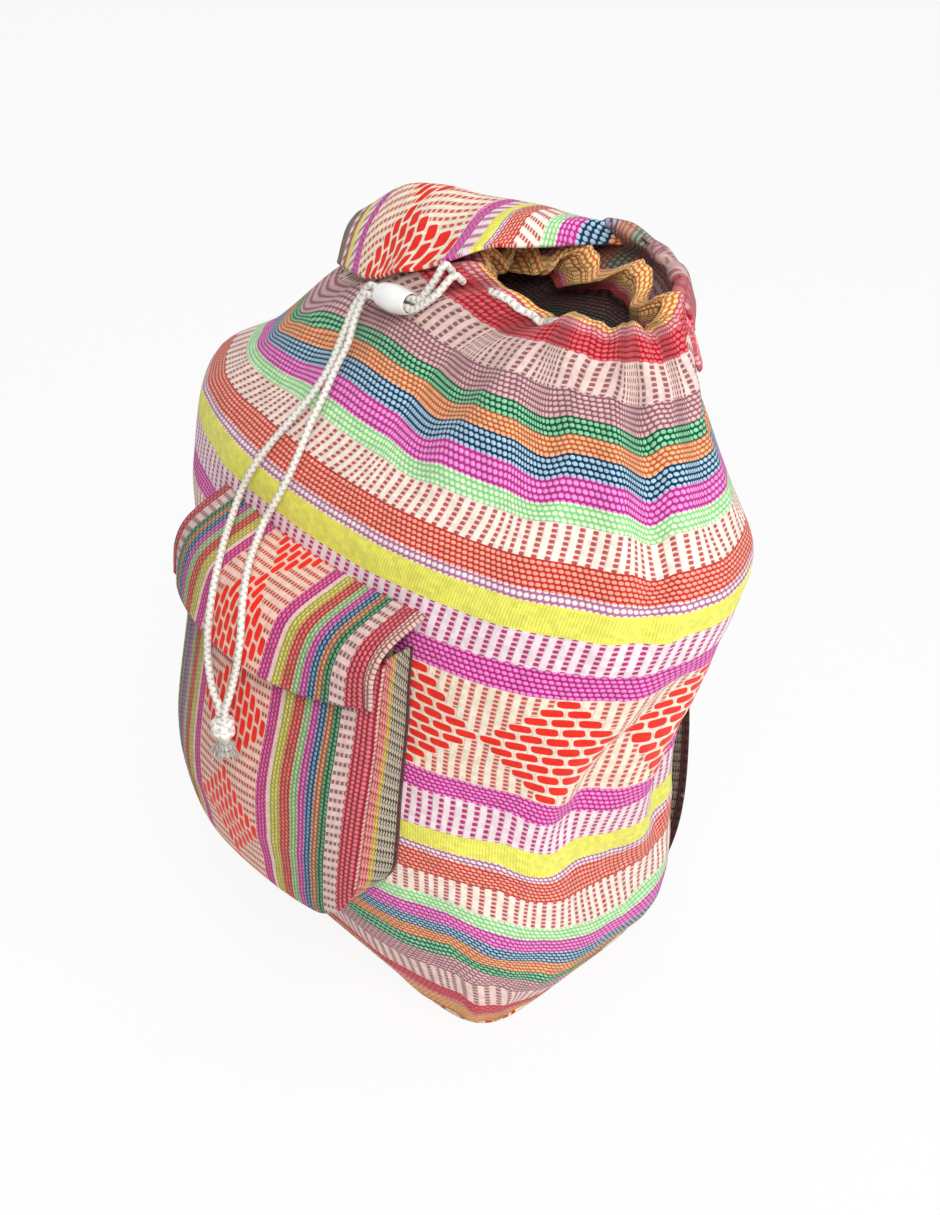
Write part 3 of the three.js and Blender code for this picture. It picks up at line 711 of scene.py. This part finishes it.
def stripe_distance(heights, points):
    """Distance of each wall point across the stripes, measured along the cloth."""
    length = lengths_along(points)
    middle = np.array([np.interp(DIAMOND_MIDDLE, heights, column) for column in length.T])
    distance = length - middle
    share = (STRIPES_AT_RIM - STRIPES_LOOSE) / (distance[-1] - STRIPES_LOOSE)
    upper = STRIPES_LOOSE + (distance - STRIPES_LOOSE) * share
    upper = np.where(distance > STRIPES_LOOSE, upper, distance)
    return np.where(distance < 0, distance * STRIPES_AT_FOOT / distance[0], upper)


def stripe_level(heights, angles):
    """The same where the photograph shows it, from the heights of the stripes' edges."""
    upper = np.interp(heights, [DIAMOND_MIDDLE, *UPPER_HEIGHTS], [0, *UPPER_EDGES])[:, None] + 0 * angles
    lower = np.array([
        np.interp(-heights, [-DIAMOND_MIDDLE, *(-np.array(edges, float))], [0, *UPPER_EDGES])
        for edges in LOWER_HEIGHTS.values()
    ])
    turn = apart(angles, 0)
    keys = np.array(list(LOWER_HEIGHTS))
    below = np.array([np.interp(row, keys, column) for row, column in zip(turn, lower.T)])
    return np.where(heights[:, None] > DIAMOND_MIDDLE, upper, -below)


def stripe_across(heights, points, angles):
    """The heights of the photograph in front, and the length along the cloth behind."""
    away = np.clip((np.abs(apart(angles, SHOWN_SIDE)) - SHOWN_REACH) / SHOWN_FADE, 0, 1)
    behind = away**2 * (3 - 2 * away)
    level = stripe_level(heights, angles)
    return level + (stripe_distance(heights, points) - level) * behind


def stripe_dip(height, angle):
    """How much further along the cloth a valley is than the ridge beside it."""
    level_gathers = GATHERS[1:3]
    valleys = gather_depth(height, angle) - 0.85 * gather_depth(height, angle, level_gathers)
    fold = valleys + 1.3 * np.maximum(crease_depth(height, angle), 0)
    raised = np.clip((height - DIP_FROM) / DIP_FADE, 0, 1) * np.clip((RIM - height) / DIP_FADE_AT_RIM, 0, 1)
    return DIP * raised * fold


def make_wall():
    climb = np.concatenate([np.linspace(FOOT, 300, 86), np.linspace(300, RIM - 3, 50)[1:]])
    angles = np.array([even_angles(h, WALL_COLUMNS, RIBS_ROUND) for h in climb])
    outer = wall(climb[:, None], angles)
    across = stripe_across(climb, outer, angles) + stripe_dip(climb[:, None], angles)
    rib = np.arange(WALL_COLUMNS + 1) / WALL_COLUMNS * RIBS_ROUND
    rows, values = [outer], []

    def value_rows(distance, side):
        distance = np.concatenate([distance, distance[:, :1]], 1)
        return np.stack([rib + 0 * distance, distance, side + 0 * distance], -1)

    values.append(value_rows(across, 0))
    top = angles[-1]

    def inner(height, inset, beyond, side):
        rows.append(wall(height, top, inset)[None])
        values.append(value_rows(across[-1:] + beyond, side))

    for turn in np.linspace(0, math.pi, 9)[1:-1]:
        lift = (HEM_WIDTH / 2) * math.sin(turn)
        inner(RIM - 3 + lift * 0.66, HEM_WIDTH / 2 * (1 - math.cos(turn)), 1.2 * turn * HEM_WIDTH / 3, 0)
    for height in np.linspace(RIM - 3, RIM - HEM_DEPTH, 10):
        inner(height, HEM_WIDTH, min(RIM - height + 3, 11) - 2.2 * max(RIM - height - 8, 0), 0)
    inner(RIM - HEM_DEPTH, HEM_WIDTH - HEM_FOLD, HEM_DEPTH, 0)
    lining_heights = np.concatenate([
        np.linspace(RIM - HEM_DEPTH, 300, 24), np.linspace(300, FOOT, 22)[1:]
    ])
    lining_angles = np.array([
        [np.interp(h, climb, angles[:, column]) for column in range(WALL_COLUMNS)] for h in lining_heights
    ])
    inset = np.full(len(lining_heights), CLOTH)
    rows.append(wall(lining_heights[:, None], lining_angles, inset[:, None]))
    lining_across = np.array([
        [np.interp(h, climb, across[:, column]) for column in range(WALL_COLUMNS)] for h in lining_heights
    ])
    values.append(value_rows(lining_across, 1))
    points = np.concatenate(rows)
    values = np.concatenate(values)
    values = np.concatenate([values, values[:1]])
    piece = ring_piece("bag_wall", points, values)
    return dress(piece, body_cloth, "striped_cloth", "body_wall")


make_wall()


def make_bottom():
    rings, columns = 14, 144
    turn = np.arange(columns) / columns * 360
    outline = section(np.zeros(columns), turn)
    share = np.linspace(0.02, 1, rings)[:, None, None]
    top = outline[None] * share + (0, 0, 2.4)
    low = outline[None] * share[::-1]
    top[..., 2] -= 0.25 * np.cos(top[..., 0] * 0.35)
    points = np.concatenate([top[::-1], low[::-1]])
    distance = points[..., 1] * 1.2 + 60
    values = np.stack([points[..., 0] / 6, distance, 0 * distance], -1)
    values = np.concatenate([values, values[:, :1]], 1)
    values = np.concatenate([values, values[:1]])
    piece = ring_piece("bag_bottom", points, values, flip=True)
    return dress(piece, body_cloth, "striped_cloth", "bottom_panel")


make_bottom()

# Front pocket

POCKET_LEFT, POCKET_RIGHT = -72, 60
POCKET_BOTTOM, POCKET_TOP = 106, 246
POCKET_DEPTH_TOP, POCKET_DEPTH_BOTTOM = 16.2, 27.2
POCKET_SEAM_GAP = 0.8
POCKET_BULGE = 17
CORNER_LEFT, CORNER_RIGHT = 56, 24
GUSSET = 2.4
FLAP_SEAM, FLAP_DROP, FLAP_OVERHANG = 263, 32, 5
POCKET_SCALE = 1.34
POCKET_RIB = 4.7
POCKET_MIDDLE = (POCKET_LEFT + POCKET_RIGHT) / 2
POCKET_CORE = -9


def corner_inset(height, corner):
    above = np.clip((POCKET_BOTTOM + corner - height) / corner, 0, 1)
    return corner * (1 - np.sqrt(1 - above**2))


def pocket_back_y(x, height):
    inner = x + np.sign(POCKET_MIDDLE - x) * GUSSET
    return np.minimum(face_y(x, height, -1), face_y(inner, height + GUSSET, -1)) - SEAM_GAP


def pocket_depth(height):
    share = np.clip((height - POCKET_BOTTOM) / (POCKET_TOP - POCKET_BOTTOM), 0, 1)
    return POCKET_DEPTH_BOTTOM + (POCKET_DEPTH_TOP - POCKET_DEPTH_BOTTOM) * share


def pocket_front_points(across, down):
    height = POCKET_TOP + (POCKET_BOTTOM - POCKET_TOP) * down
    left = POCKET_LEFT + corner_inset(height, CORNER_LEFT)
    right = POCKET_RIGHT - corner_inset(height, CORNER_RIGHT)
    x = left + (right - left) * across
    full_across = np.sin(np.pi * np.clip(across, 0, 1)) ** 0.7
    full_down = 0.55 + 0.45 * np.sin(np.pi * np.clip(down * 1.15, 0, 1))
    closing = np.sqrt(np.clip((1 - down) / 0.25, 0, 1))
    bulge = POCKET_BULGE * full_across * full_down * closing
    y = pocket_back_y(x, height) - pocket_depth(height) - POCKET_SEAM_GAP - bulge
    return np.stack([x, y, height + 0 * x], -1)


def pocket_values(points):
    """The pocket's cloth is turned a quarter, so its stripes stand upright."""
    return np.stack([
        points[..., 2] / POCKET_RIB,
        (points[..., 0] - POCKET_CORE) * POCKET_SCALE,
        0 * points[..., 0],
    ], -1)


def slack(points, phase, size):
    """Small uneven waves of hand-sewn cloth."""
    x, z = points[..., 0], points[..., 2]
    return size * (
        np.sin(x * 0.11 + phase) * np.sin(z * 0.07 + 1.3 * phase) + 0.5 * np.sin(x * 0.05 - z * 0.09 + phase)
    )


def make_pocket_front():
    u, v = unit_grid(150, 150)
    points = pocket_front_points(u, v)
    edge = np.sin(np.pi * u) * np.sin(np.pi * v)
    points[..., 1] += slack(points, 0.6, 1.0) * edge
    piece = sheet_piece("pocket_panel", points, pocket_values(points), CLOTH, True)
    return dress(piece, pocket_cloth, "pocket_cloth", "pocket_front")


def pocket_outline(count):
    """Points round the pocket's sides and foot, evenly spaced."""
    left_centre = (POCKET_LEFT + CORNER_LEFT, POCKET_BOTTOM + CORNER_LEFT)
    right_centre = (POCKET_RIGHT - CORNER_RIGHT, POCKET_BOTTOM + CORNER_RIGHT)
    turn = np.linspace(0, math.pi / 2, 40)
    left = np.stack([
        left_centre[0] - CORNER_LEFT * np.cos(turn), left_centre[1] - CORNER_LEFT * np.sin(turn)
    ], -1)
    right = np.stack([
        right_centre[0] + CORNER_RIGHT * np.sin(turn), right_centre[1] - CORNER_RIGHT * np.cos(turn)
    ], -1)
    path = np.concatenate([[(POCKET_LEFT, POCKET_TOP)], left, right, [(POCKET_RIGHT, POCKET_TOP)]])
    length = lengths_along(path)
    at = np.linspace(0, length[-1], count)
    return np.stack([np.interp(at, length, path[:, 0]), np.interp(at, length, path[:, 1])], -1), at


def make_gusset():
    columns, rows = 320, 12
    outline, length = pocket_outline(columns)
    v = np.linspace(0, 1, rows)[:, None]
    x, z = outline[:, 0][None] + 0 * v, outline[:, 1][None] + 0 * v
    y = pocket_back_y(x, z) - pocket_depth(z) * v
    points = np.stack([x, y, z], -1)
    values = np.stack([length[None] / 3.0 + 0 * v, 1 - v + 0 * x, 0 * x], -1)
    piece = sheet_piece("pocket_band", points, values, GUSSET)
    return dress(piece, band_cloth, "webbing", "pocket_gusset")


def catmull_rom(points, count):
    """Points on a centripetal curve, spaced as three.js spaces them along its own parameter."""
    points = np.asarray(points, float)
    last = points.shape[0] - 1
    found = []
    for share in np.linspace(0, 1, count):
        at = min(share, 1.0) * last
        i = min(int(at), last - 1)
        w = at - i
        p1, p2 = points[i], points[i + 1]
        p0 = points[i - 1] if i > 0 else 2 * points[0] - points[1]
        p3 = points[i + 2] if i + 2 <= last else 2 * points[last] - points[last - 1]
        d0, d1, d2 = (
            np.sqrt(np.linalg.norm(b - a, axis=-1))[..., None] for a, b in ((p0, p1), (p1, p2), (p2, p3))
        )
        t1 = ((p1 - p0) / d0 - (p2 - p0) / (d0 + d1) + (p2 - p1) / d1) * d1
        t2 = ((p2 - p1) / d1 - (p3 - p1) / (d1 + d2) + (p3 - p2) / d2) * d1
        c2 = -3 * p1 + 3 * p2 - 2 * t1 - t2
        c3 = 2 * p1 - 2 * p2 + t1 + t2
        found.append(p1 + t1 * w + c2 * w * w + c3 * w**3)
    return np.array(found)


def pocket_flap_points(columns, rows):
    across = np.linspace(0, 1, columns)
    aside, brow_rise, nose_rise, nose_reach = 4, 9, 1, 3
    x = (POCKET_LEFT - aside) + (POCKET_RIGHT - POCKET_LEFT + 2 * aside) * across
    face_across = np.clip((x - POCKET_LEFT) / (POCKET_RIGHT - POCKET_LEFT), 0, 1)
    face = pocket_front_points(face_across, 0.02)
    belly = pocket_front_points(face_across, FLAP_DROP / (POCKET_TOP - POCKET_BOTTOM))
    flat = np.ones_like(x)
    seam = np.stack([x, face_y(x, FLAP_SEAM, -1) - SEAM_GAP, FLAP_SEAM * flat], -1)
    brow = np.stack([x, face[:, 1] - FLAP_OVERHANG * 0.4, (POCKET_TOP + brow_rise) * flat], -1)
    nose = np.stack([x, face[:, 1] - FLAP_OVERHANG - nose_reach, (POCKET_TOP + nose_rise) * flat], -1)
    hem = np.stack([x, belly[:, 1] - FLAP_OVERHANG, (POCKET_TOP + 16 - FLAP_DROP) * flat], -1)
    return catmull_rom(np.stack([seam, brow, nose, hem]), rows)


def make_pocket_flap():
    points = pocket_flap_points(150, 60)
    u, v = unit_grid(150, 60)
    points[..., 1] -= (slack(points, 2.1, 1.2) + 0.8) * v * np.sin(np.pi * u) ** 0.5
    values = pocket_values(points)
    length = lengths_along(points)
    values[..., 0] = (POCKET_TOP - length) / POCKET_RIB
    piece = sheet_piece("pocket_cover", points, values, CLOTH, True)
    dress(piece, pocket_cloth, "pocket_cloth", "pocket_flap")


make_pocket_front()
make_gusset()
make_pocket_flap()

# Top flap: share along the seam, angle of the seam, crest, edge
FLAP_COLUMNS = [
    (0, 30, (103, 34, 383), (108, 39, 372)),
    (0.22, 56, (84, 45, 391.5), (88, 52, 379)),
    (0.42, 86, (54, 48, 396.5), (53, 56, 386)),
    (0.56, 112, (24, 36, 400.5), (26, 0, 396)),
    (0.7, 132, (-12, 20, 402), (-14, -20, 378)),
    (0.85, 150, (-46, 14, 397), (-38, -20, 366)),
    (1, 166, (-70, 4, 380), (-70, -12, 359)),
]
FLAP_SEAM_HEIGHT = 360

# Share along the flap, and mm across its stripes there: the cloth is turned a quarter
FLAP_STRIPES = [
    (0, 190), (0.14, 182), (0.24, 172), (0.32, 160), (0.38, 148), (0.43, 139), (0.47, 128), (0.50, 118),
    (0.53, 104), (0.56, 88), (0.585, 74), (0.60, 60), (0.62, 42), (0.64, 28), (0.78, 0), (0.90, -28),
    (0.925, -42), (0.945, -60), (0.96, -76), (0.975, -100), (0.985, -125), (1, -160),
]


def top_flap_points(columns, rows):
    share = np.linspace(0, 1, columns)
    keys = [column[0] for column in FLAP_COLUMNS]
    angle = track(keys, [column[1] for column in FLAP_COLUMNS])(share)
    seam = wall(FLAP_SEAM_HEIGHT, angle, -2 * SEAM_GAP - CLOTH, False)
    crest, edge = (
        np.stack([track(keys, [column[k][axis] for column in FLAP_COLUMNS])(share) for axis in range(3)], -1)
        for k in (2, 3)
    )
    loose_end = np.clip(1 - share / 0.35, 0, 1)[:, None]
    crest = crest - loose_end * (5, 2, 0)
    edge = edge - loose_end * (7, 3, 0)
    rise = seam + (crest - seam) * 0.6 + (-3, 8, 0) * (1 - 0.8 * loose_end)
    roll = (crest + edge) / 2 + (-1, 0, 5)
    return catmull_rom(np.stack([seam, rise, crest, roll, edge]), rows)


def make_top_flap():
    columns, rows = 260, 110
    points = top_flap_points(columns, rows)
    u, v = unit_grid(columns, rows)
    normal = unit(np.cross(np.gradient(points, axis=1), np.gradient(points, axis=0)))
    bunch = 0.7 * np.sin(2 * np.pi * 9 * u) * np.clip((0.5 - u) / 0.2, 0, 1) * np.sin(np.pi * v)
    folds = 1.6 * np.sin(2 * np.pi * (5 * u + 0.5 * v)) * np.clip((u - 0.48) / 0.08, 0, 1) * v**1.5
    folds = folds * np.clip((0.78 - u) / 0.08, 0, 1)
    points = points + normal * (bunch + folds)[..., None]
    across = np.interp(u, [s for s, _ in FLAP_STRIPES], [d for _, d in FLAP_STRIPES])
    length = lengths_along(points)
    values = np.stack([length / 5.2, across + 3 * np.sin(length * 0.12), 0 * u], -1)
    piece = sheet_piece("mouth_cover", points, values, CLOTH)
    dress(piece, flap_cloth, "flap_cloth", "top_flap")


make_top_flap()

# Shoulder straps: height, distance from the middle of the back, distance off the bag
STRAP_ROUTE = [
    (346, 26, 0), (310, 32, 9), (250, 46, 17), (180, 58, 22), (110, 67, 18), (55, 71, 9), (16, 68, 0),
]
BACK_MIDDLE = -2


def make_strap(side, name, node):
    columns, rows = 220, 18
    route = np.array(STRAP_ROUTE, float)
    x = BACK_MIDDLE + side * route[:, 1]
    line = np.stack([x, face_y(x, route[:, 0], 1) + SEAM_GAP + route[:, 2], route[:, 0]], -1)
    centre = catmull_rom(line, columns)
    rising = route[::-1]
    at = BACK_MIDDLE + side * rising[:, 1]
    nudge = 5
    slopes = (face_y(at + nudge, rising[:, 0], 1) - face_y(at - nudge, rising[:, 0], 1)) / (2 * nudge)
    slope = track(rising[:, 0], slopes)(centre[:, 2])
    across = unit(np.stack([np.ones(columns), slope, np.zeros(columns)], -1))
    v = np.linspace(-0.5, 0.5, rows)[:, None, None]
    points = centre[None] + across[None] * v * STRAP_WIDTH
    length = lengths_along(centre)
    share = v[..., 0] + 0.5 if side > 0 else 0.5 - v[..., 0]
    flat = 0 * share * length[None]
    values = np.stack([length[None] / 3.0 + flat, share + flat, flat], -1)
    piece = sheet_piece(name, points, values, STRAP_THICKNESS)
    return dress(piece, band_cloth, "webbing", node)


make_strap(-1, "strap_left", "shoulder_strap_left")
make_strap(1, "strap_right", "shoulder_strap_right")

# Cords

BEAD_LENGTH, BEAD_DIAMETER, BEAD_BORE = 20, 12.8, 8.4
BEAD_TRAVEL, BEAD_STRAIGHT, BEAD_STRAIGHT_PAST = 6, 3, 2
BEAD_CENTRE = np.array([-11.5, -27.5, 367.2])
BEAD_AXIS = unit(np.array([-1, 0, -0.12]))
TAIL_SPACING = 4.4
TAIL_UPHILL = np.array([0, 0.7, 0.71])
TAIL_EXIT_HEIGHT, TAIL_EXIT_ANGLE, TAIL_EXIT_SPREAD, TAIL_END_GAP = 384, -127, 2.8, 2
TAIL_TURN, TAIL_TURN_ASIDE = np.array([9, -23, 378]), np.array([-2.4, 2.2, 2])
KNOT_TOP = np.array([-2, -143.5, 204])
KNOT_SEAT_GAP = 0.4
TAIL_ROUTES = {
    "drawstring_tail_left": [
        (-36, -29, 357), (-36, -37, 345), (-34, -47, 333), (-35, -57, 322), (-38, -65, 313),
        (-44, -75, 300), (-49, -82, 288), (-53, -87, 276), (-50, -95, 268), (-38, -110, 264),
        (-25, -126, 255), (-19, -135, 240), (-17, -138, 224), (-9, -142, 213),
    ],
    "drawstring_tail_right": [
        (-32, -33, 353.5), (-29, -41, 343), (-29, -48, 334), (-28, -57, 323), (-27, -65, 314),
        (-25, -73, 305), (-25, -81, 293), (-28, -87, 281), (-31, -91, 272), (-27, -99, 267),
        (-17, -112, 264), (-5, -125, 257), (3, -134, 243), (2, -138, 225), (1, -142, 213),
    ],
}


def tail_path(name, uphill, count=600):
    aside = TAIL_UPHILL * uphill * TAIL_SPACING / 2

    def along_bead(distance):
        return BEAD_CENTRE + BEAD_AXIS * distance + aside

    angle = TAIL_EXIT_ANGLE - uphill * TAIL_EXIT_SPREAD
    at_hem = wall(TAIL_EXIT_HEIGHT, angle, -TAIL_END_GAP, False)
    clear_of_hem = wall(TAIL_EXIT_HEIGHT, angle, -1.6 * CORD - CLOTH, False)
    into_knot = KNOT_TOP + (-uphill * TAIL_SPACING / 2, 0, KNOT_SEAT_GAP)
    half = BEAD_LENGTH / 2
    points = [
        at_hem, clear_of_hem, TAIL_TURN + TAIL_TURN_ASIDE * uphill, along_bead(-half - BEAD_STRAIGHT),
        along_bead(-half), along_bead(half), along_bead(half + BEAD_TRAVEL),
        along_bead(half + BEAD_TRAVEL + BEAD_STRAIGHT_PAST),
        *TAIL_ROUTES[name], into_knot + (0, 0.5, 5), into_knot,
    ]
    return catmull_rom(points, count)


def tube_points(path, radius, sides, plaits=0.0):
    """Rings of points round a path, with the low ridges of a braid."""
    tangent = unit(np.gradient(path, axis=0))
    side = np.zeros_like(path)
    start = np.cross(tangent[0], (0.3, 0.2, 0.9))
    side[0] = start / np.linalg.norm(start)
    for i in range(1, len(path)):
        flat = side[i - 1] - tangent[i] * np.dot(side[i - 1], tangent[i])
        side[i] = flat / np.linalg.norm(flat)
    up = np.cross(tangent, side)
    turn = np.arange(sides + 1) / sides
    length = lengths_along(path)
    along = length / 3.2
    left = np.cos(2 * np.pi * (along[:, None] + 2 * turn[None]))
    right = np.cos(2 * np.pi * (along[:, None] - 2 * turn[None]))
    swell = radius - plaits + plaits * np.maximum(left, right)
    radial = side[:, None] * np.cos(2 * np.pi * turn)[None, :, None]
    radial = radial + up[:, None] * np.sin(2 * np.pi * turn)[None, :, None]
    points = path[:, None] + radial * swell[..., None]
    values = np.stack([along[:, None] + 0 * turn[None], turn[None] + 0 * along[:, None], 0 * left], -1)
    return points[:, :-1], values


def tube_piece(name, path, radius, sides, plaits=0.0):
    points, values = tube_points(path, radius, sides, plaits)
    rows, columns = points.shape[:2]
    faces, corners = grid_faces(rows, columns, False, True)
    faces, corners = faces[:, ::-1], corners[:, ::-1]
    flat = np.concatenate([points.reshape(-1, 3), path[:1], path[-1:]])
    all_faces = faces.tolist()
    all_values = [values.reshape(-1, 3)[corners.ravel()]]
    for row, centre, turn in ((0, rows * columns, 1), (rows - 1, rows * columns + 1, -1)):
        for i in range(columns):
            a, b = row * columns + i, row * columns + (i + 1) % columns
            all_faces.append([a, b, centre] if turn > 0 else [b, a, centre])
            all_values.append(np.repeat(values[row, i][None], 3, 0))
    return build_mesh(name, flat, all_faces, np.concatenate(all_values))


def make_bead():
    sides = 72
    profile = catmull_rom([
        (BEAD_BORE / 2, -BEAD_LENGTH / 2 + 1.2, 0), (BEAD_BORE / 2 + 0.2, -BEAD_LENGTH / 2, 0),
        (BEAD_DIAMETER * 0.37, -BEAD_LENGTH / 2 + 0.1, 0), (BEAD_DIAMETER * 0.45, -BEAD_LENGTH / 3, 0),
        (BEAD_DIAMETER / 2, 0, 0),
        (BEAD_DIAMETER * 0.45, BEAD_LENGTH / 3, 0), (BEAD_DIAMETER * 0.37, BEAD_LENGTH / 2 - 0.1, 0),
        (BEAD_BORE / 2 + 0.2, BEAD_LENGTH / 2, 0), (BEAD_BORE / 2, BEAD_LENGTH / 2 - 1.2, 0),
    ], 60)
    side = unit(np.cross(BEAD_AXIS, (0, 0, 1)))
    up = np.cross(side, BEAD_AXIS)
    turn = np.arange(sides) / sides * 2 * np.pi
    ring = side[None] * np.cos(turn)[:, None] + up[None] * np.sin(turn)[:, None]
    out, along = profile[:, 0][:, None, None], profile[:, 1][:, None, None]
    points = BEAD_CENTRE + BEAD_AXIS * along + ring[None] * out
    values = np.zeros((points.shape[0] + 1, sides + 1, 3))
    piece = ring_piece("bead", points, values)
    return dress(piece, bead_gloss, "bead", "cord_bead", body="bead")


def join_pieces(piece, others):
    with bpy.context.temp_override(
        active_object=piece, object=piece, selected_editable_objects=[piece, *others],
        selected_objects=[piece, *others],
    ):
        bpy.ops.object.join()


def make_knot():
    """An overhand knot of both cords, and the frayed ends below it."""
    turn = np.linspace(0, 2 * np.pi * 2.6, 130)
    wrap = np.stack([
        3.6 * np.cos(turn), 3.4 * np.sin(turn), -2.2 - 7.4 * turn / turn[-1]
    ], -1)
    path = np.concatenate([[(0.4, 0, -0.6)], wrap, [(0.6, -0.6, -10.6), (0, 0, -12)]])
    piece = tube_piece("knot", KNOT_TOP + catmull_rom(path, 260), 2.0, 14, 0.14)
    down = np.linspace(0, 1, 12)
    core_path = KNOT_TOP + np.stack([0 * down, 0 * down, -0.3 - 12.2 * down], -1)
    core = tube_piece("knot_core", core_path, 3.1, 18, 0.1)
    random = np.random.default_rng(7)
    strands = []
    for _ in range(150):
        angle, spread = random.uniform(0, 2 * np.pi), random.uniform(0, 1) ** 0.6
        direction = np.array([np.cos(angle), np.sin(angle), 0])
        fall = random.uniform(7.5, 10.6)
        bend = random.normal(0, 0.5, 3) * (1, 1, 0)
        points = [
            KNOT_TOP + direction * 1.6 * spread + (0, 0, -11.4),
            KNOT_TOP + direction * 2.7 * spread + (0, 0, -14.5) + bend,
            KNOT_TOP + direction * 4.4 * spread + (0, 0, -11.8 - fall * 0.75) + bend * 2,
            KNOT_TOP + direction * 5.1 * spread + (0, 0, -11.8 - fall) + bend * 2.6,
        ]
        strands.append(tube_piece("strand", catmull_rom(points, 9), 0.24, 5))
    join_pieces(piece, [core, *strands])
    return dress(piece, cord_cotton, "cotton_cord", "cord_knot")


def make_hem_cord():
    angles = even_angles(RIM - 8, 420)
    path = wall(RIM - CLOTH - 2.5 - CORD, angles, CLOTH + 2.5)
    rings, values = tube_points(np.concatenate([path, path[:1]]), CORD / 2, 12, 0.12)
    piece = ring_piece("hem_cord", rings[:-1], np.concatenate([values[:-1], values[:1]]), flip=True)
    share = np.linspace(0, 1, 60)
    lift = np.sin(np.pi * share)
    shown = wall(RIM - 5 + 3 * lift, -112 + 40 * share, 4.5 - 6.5 * lift**0.5)
    join_pieces(piece, [tube_piece("shown_cord", shown, CORD / 2, 14, 0.14)])
    return dress(piece, cord_cotton, "cotton_cord", "drawstring_in_hem")


bead = make_bead()
knot = make_knot()
make_hem_cord()
for tail_name, uphill in (("drawstring_tail_left", 1), ("drawstring_tail_right", -1)):
    path = tail_path(tail_name, uphill)
    tail = tube_piece(tail_name.replace("drawstring_", ""), path, CORD / 2, 16, 0.14)
    dress(tail, cord_cotton, "cotton_cord", tail_name)

# Studio

def make_floor():
    bpy.ops.mesh.primitive_plane_add(size=12, location=(0, 0, -0.0003))
    floor = bpy.context.object
    floor.name = "floor"
    n = Nodes("floor")
    rays = n.node("ShaderNodeLightPath")
    seen = n.math("MAXIMUM", rays.outputs["Is Camera Ray"], rays.outputs["Is Glossy Ray"])
    seen = n.math("MAXIMUM", seen, rays.outputs["Is Transmission Ray"])
    diffuse = n.node("ShaderNodeBsdfDiffuse", Color=(0.9, 0.9, 0.9, 1))
    glow = n.node("ShaderNodeEmission", Color=(1, 1, 1, 1), Strength=1.0)
    mixed = n.node("ShaderNodeMixShader")
    n.put(mixed.inputs[0], n.mul(seen, 0.9))
    n.put(mixed.inputs[1], diffuse.outputs[0])
    n.put(mixed.inputs[2], glow.outputs[0])
    output = n.tree.nodes.new("ShaderNodeOutputMaterial")
    n.tree.links.new(mixed.outputs[0], output.inputs[0])
    floor.data.materials.append(n.material)


def make_world():
    world = bpy.data.worlds.new("studio")
    world.use_nodes = True
    tree = world.node_tree
    background = tree.nodes["Background"]
    rays = tree.nodes.new("ShaderNodeLightPath")
    seen = tree.nodes.new("ShaderNodeMath")
    seen.operation = "MAXIMUM"
    tree.links.new(rays.outputs["Is Camera Ray"], seen.inputs[0])
    tree.links.new(rays.outputs["Is Glossy Ray"], seen.inputs[1])
    level = tree.nodes.new("ShaderNodeMapRange")
    level.inputs["To Min"].default_value = WORLD_LEVEL
    level.inputs["To Max"].default_value = 1.0
    tree.links.new(seen.outputs[0], level.inputs["Value"])
    tree.links.new(level.outputs[0], background.inputs["Strength"])
    background.inputs["Color"].default_value = (1, 1, 1, 1)
    bpy.context.scene.world = world


WORLD_LEVEL = 0.34
# name, position, size, energy in watts
LAMPS = [
    ("key", (1.05, -0.8, 1.6), 0.9, 22),
    ("side", (1.5, 0.3, 0.7), 1.0, 7),
    ("top", (0.0, 0.2, 2.0), 1.3, 6),
]


def make_lamps():
    for name, place, size, energy in LAMPS:
        data = bpy.data.lights.new(name, "AREA")
        data.shape = "DISK"
        data.size = size
        data.energy = energy
        lamp = bpy.data.objects.new(name, data)
        lamp.location = place
        lamp.rotation_euler = (Vector((0, 0, 0.2)) - Vector(place)).to_track_quat("-Z", "Y").to_euler()
        bpy.context.scene.collection.objects.link(lamp)


make_floor()
make_world()
make_lamps()
bpy.context.scene.view_settings.view_transform = "Standard"
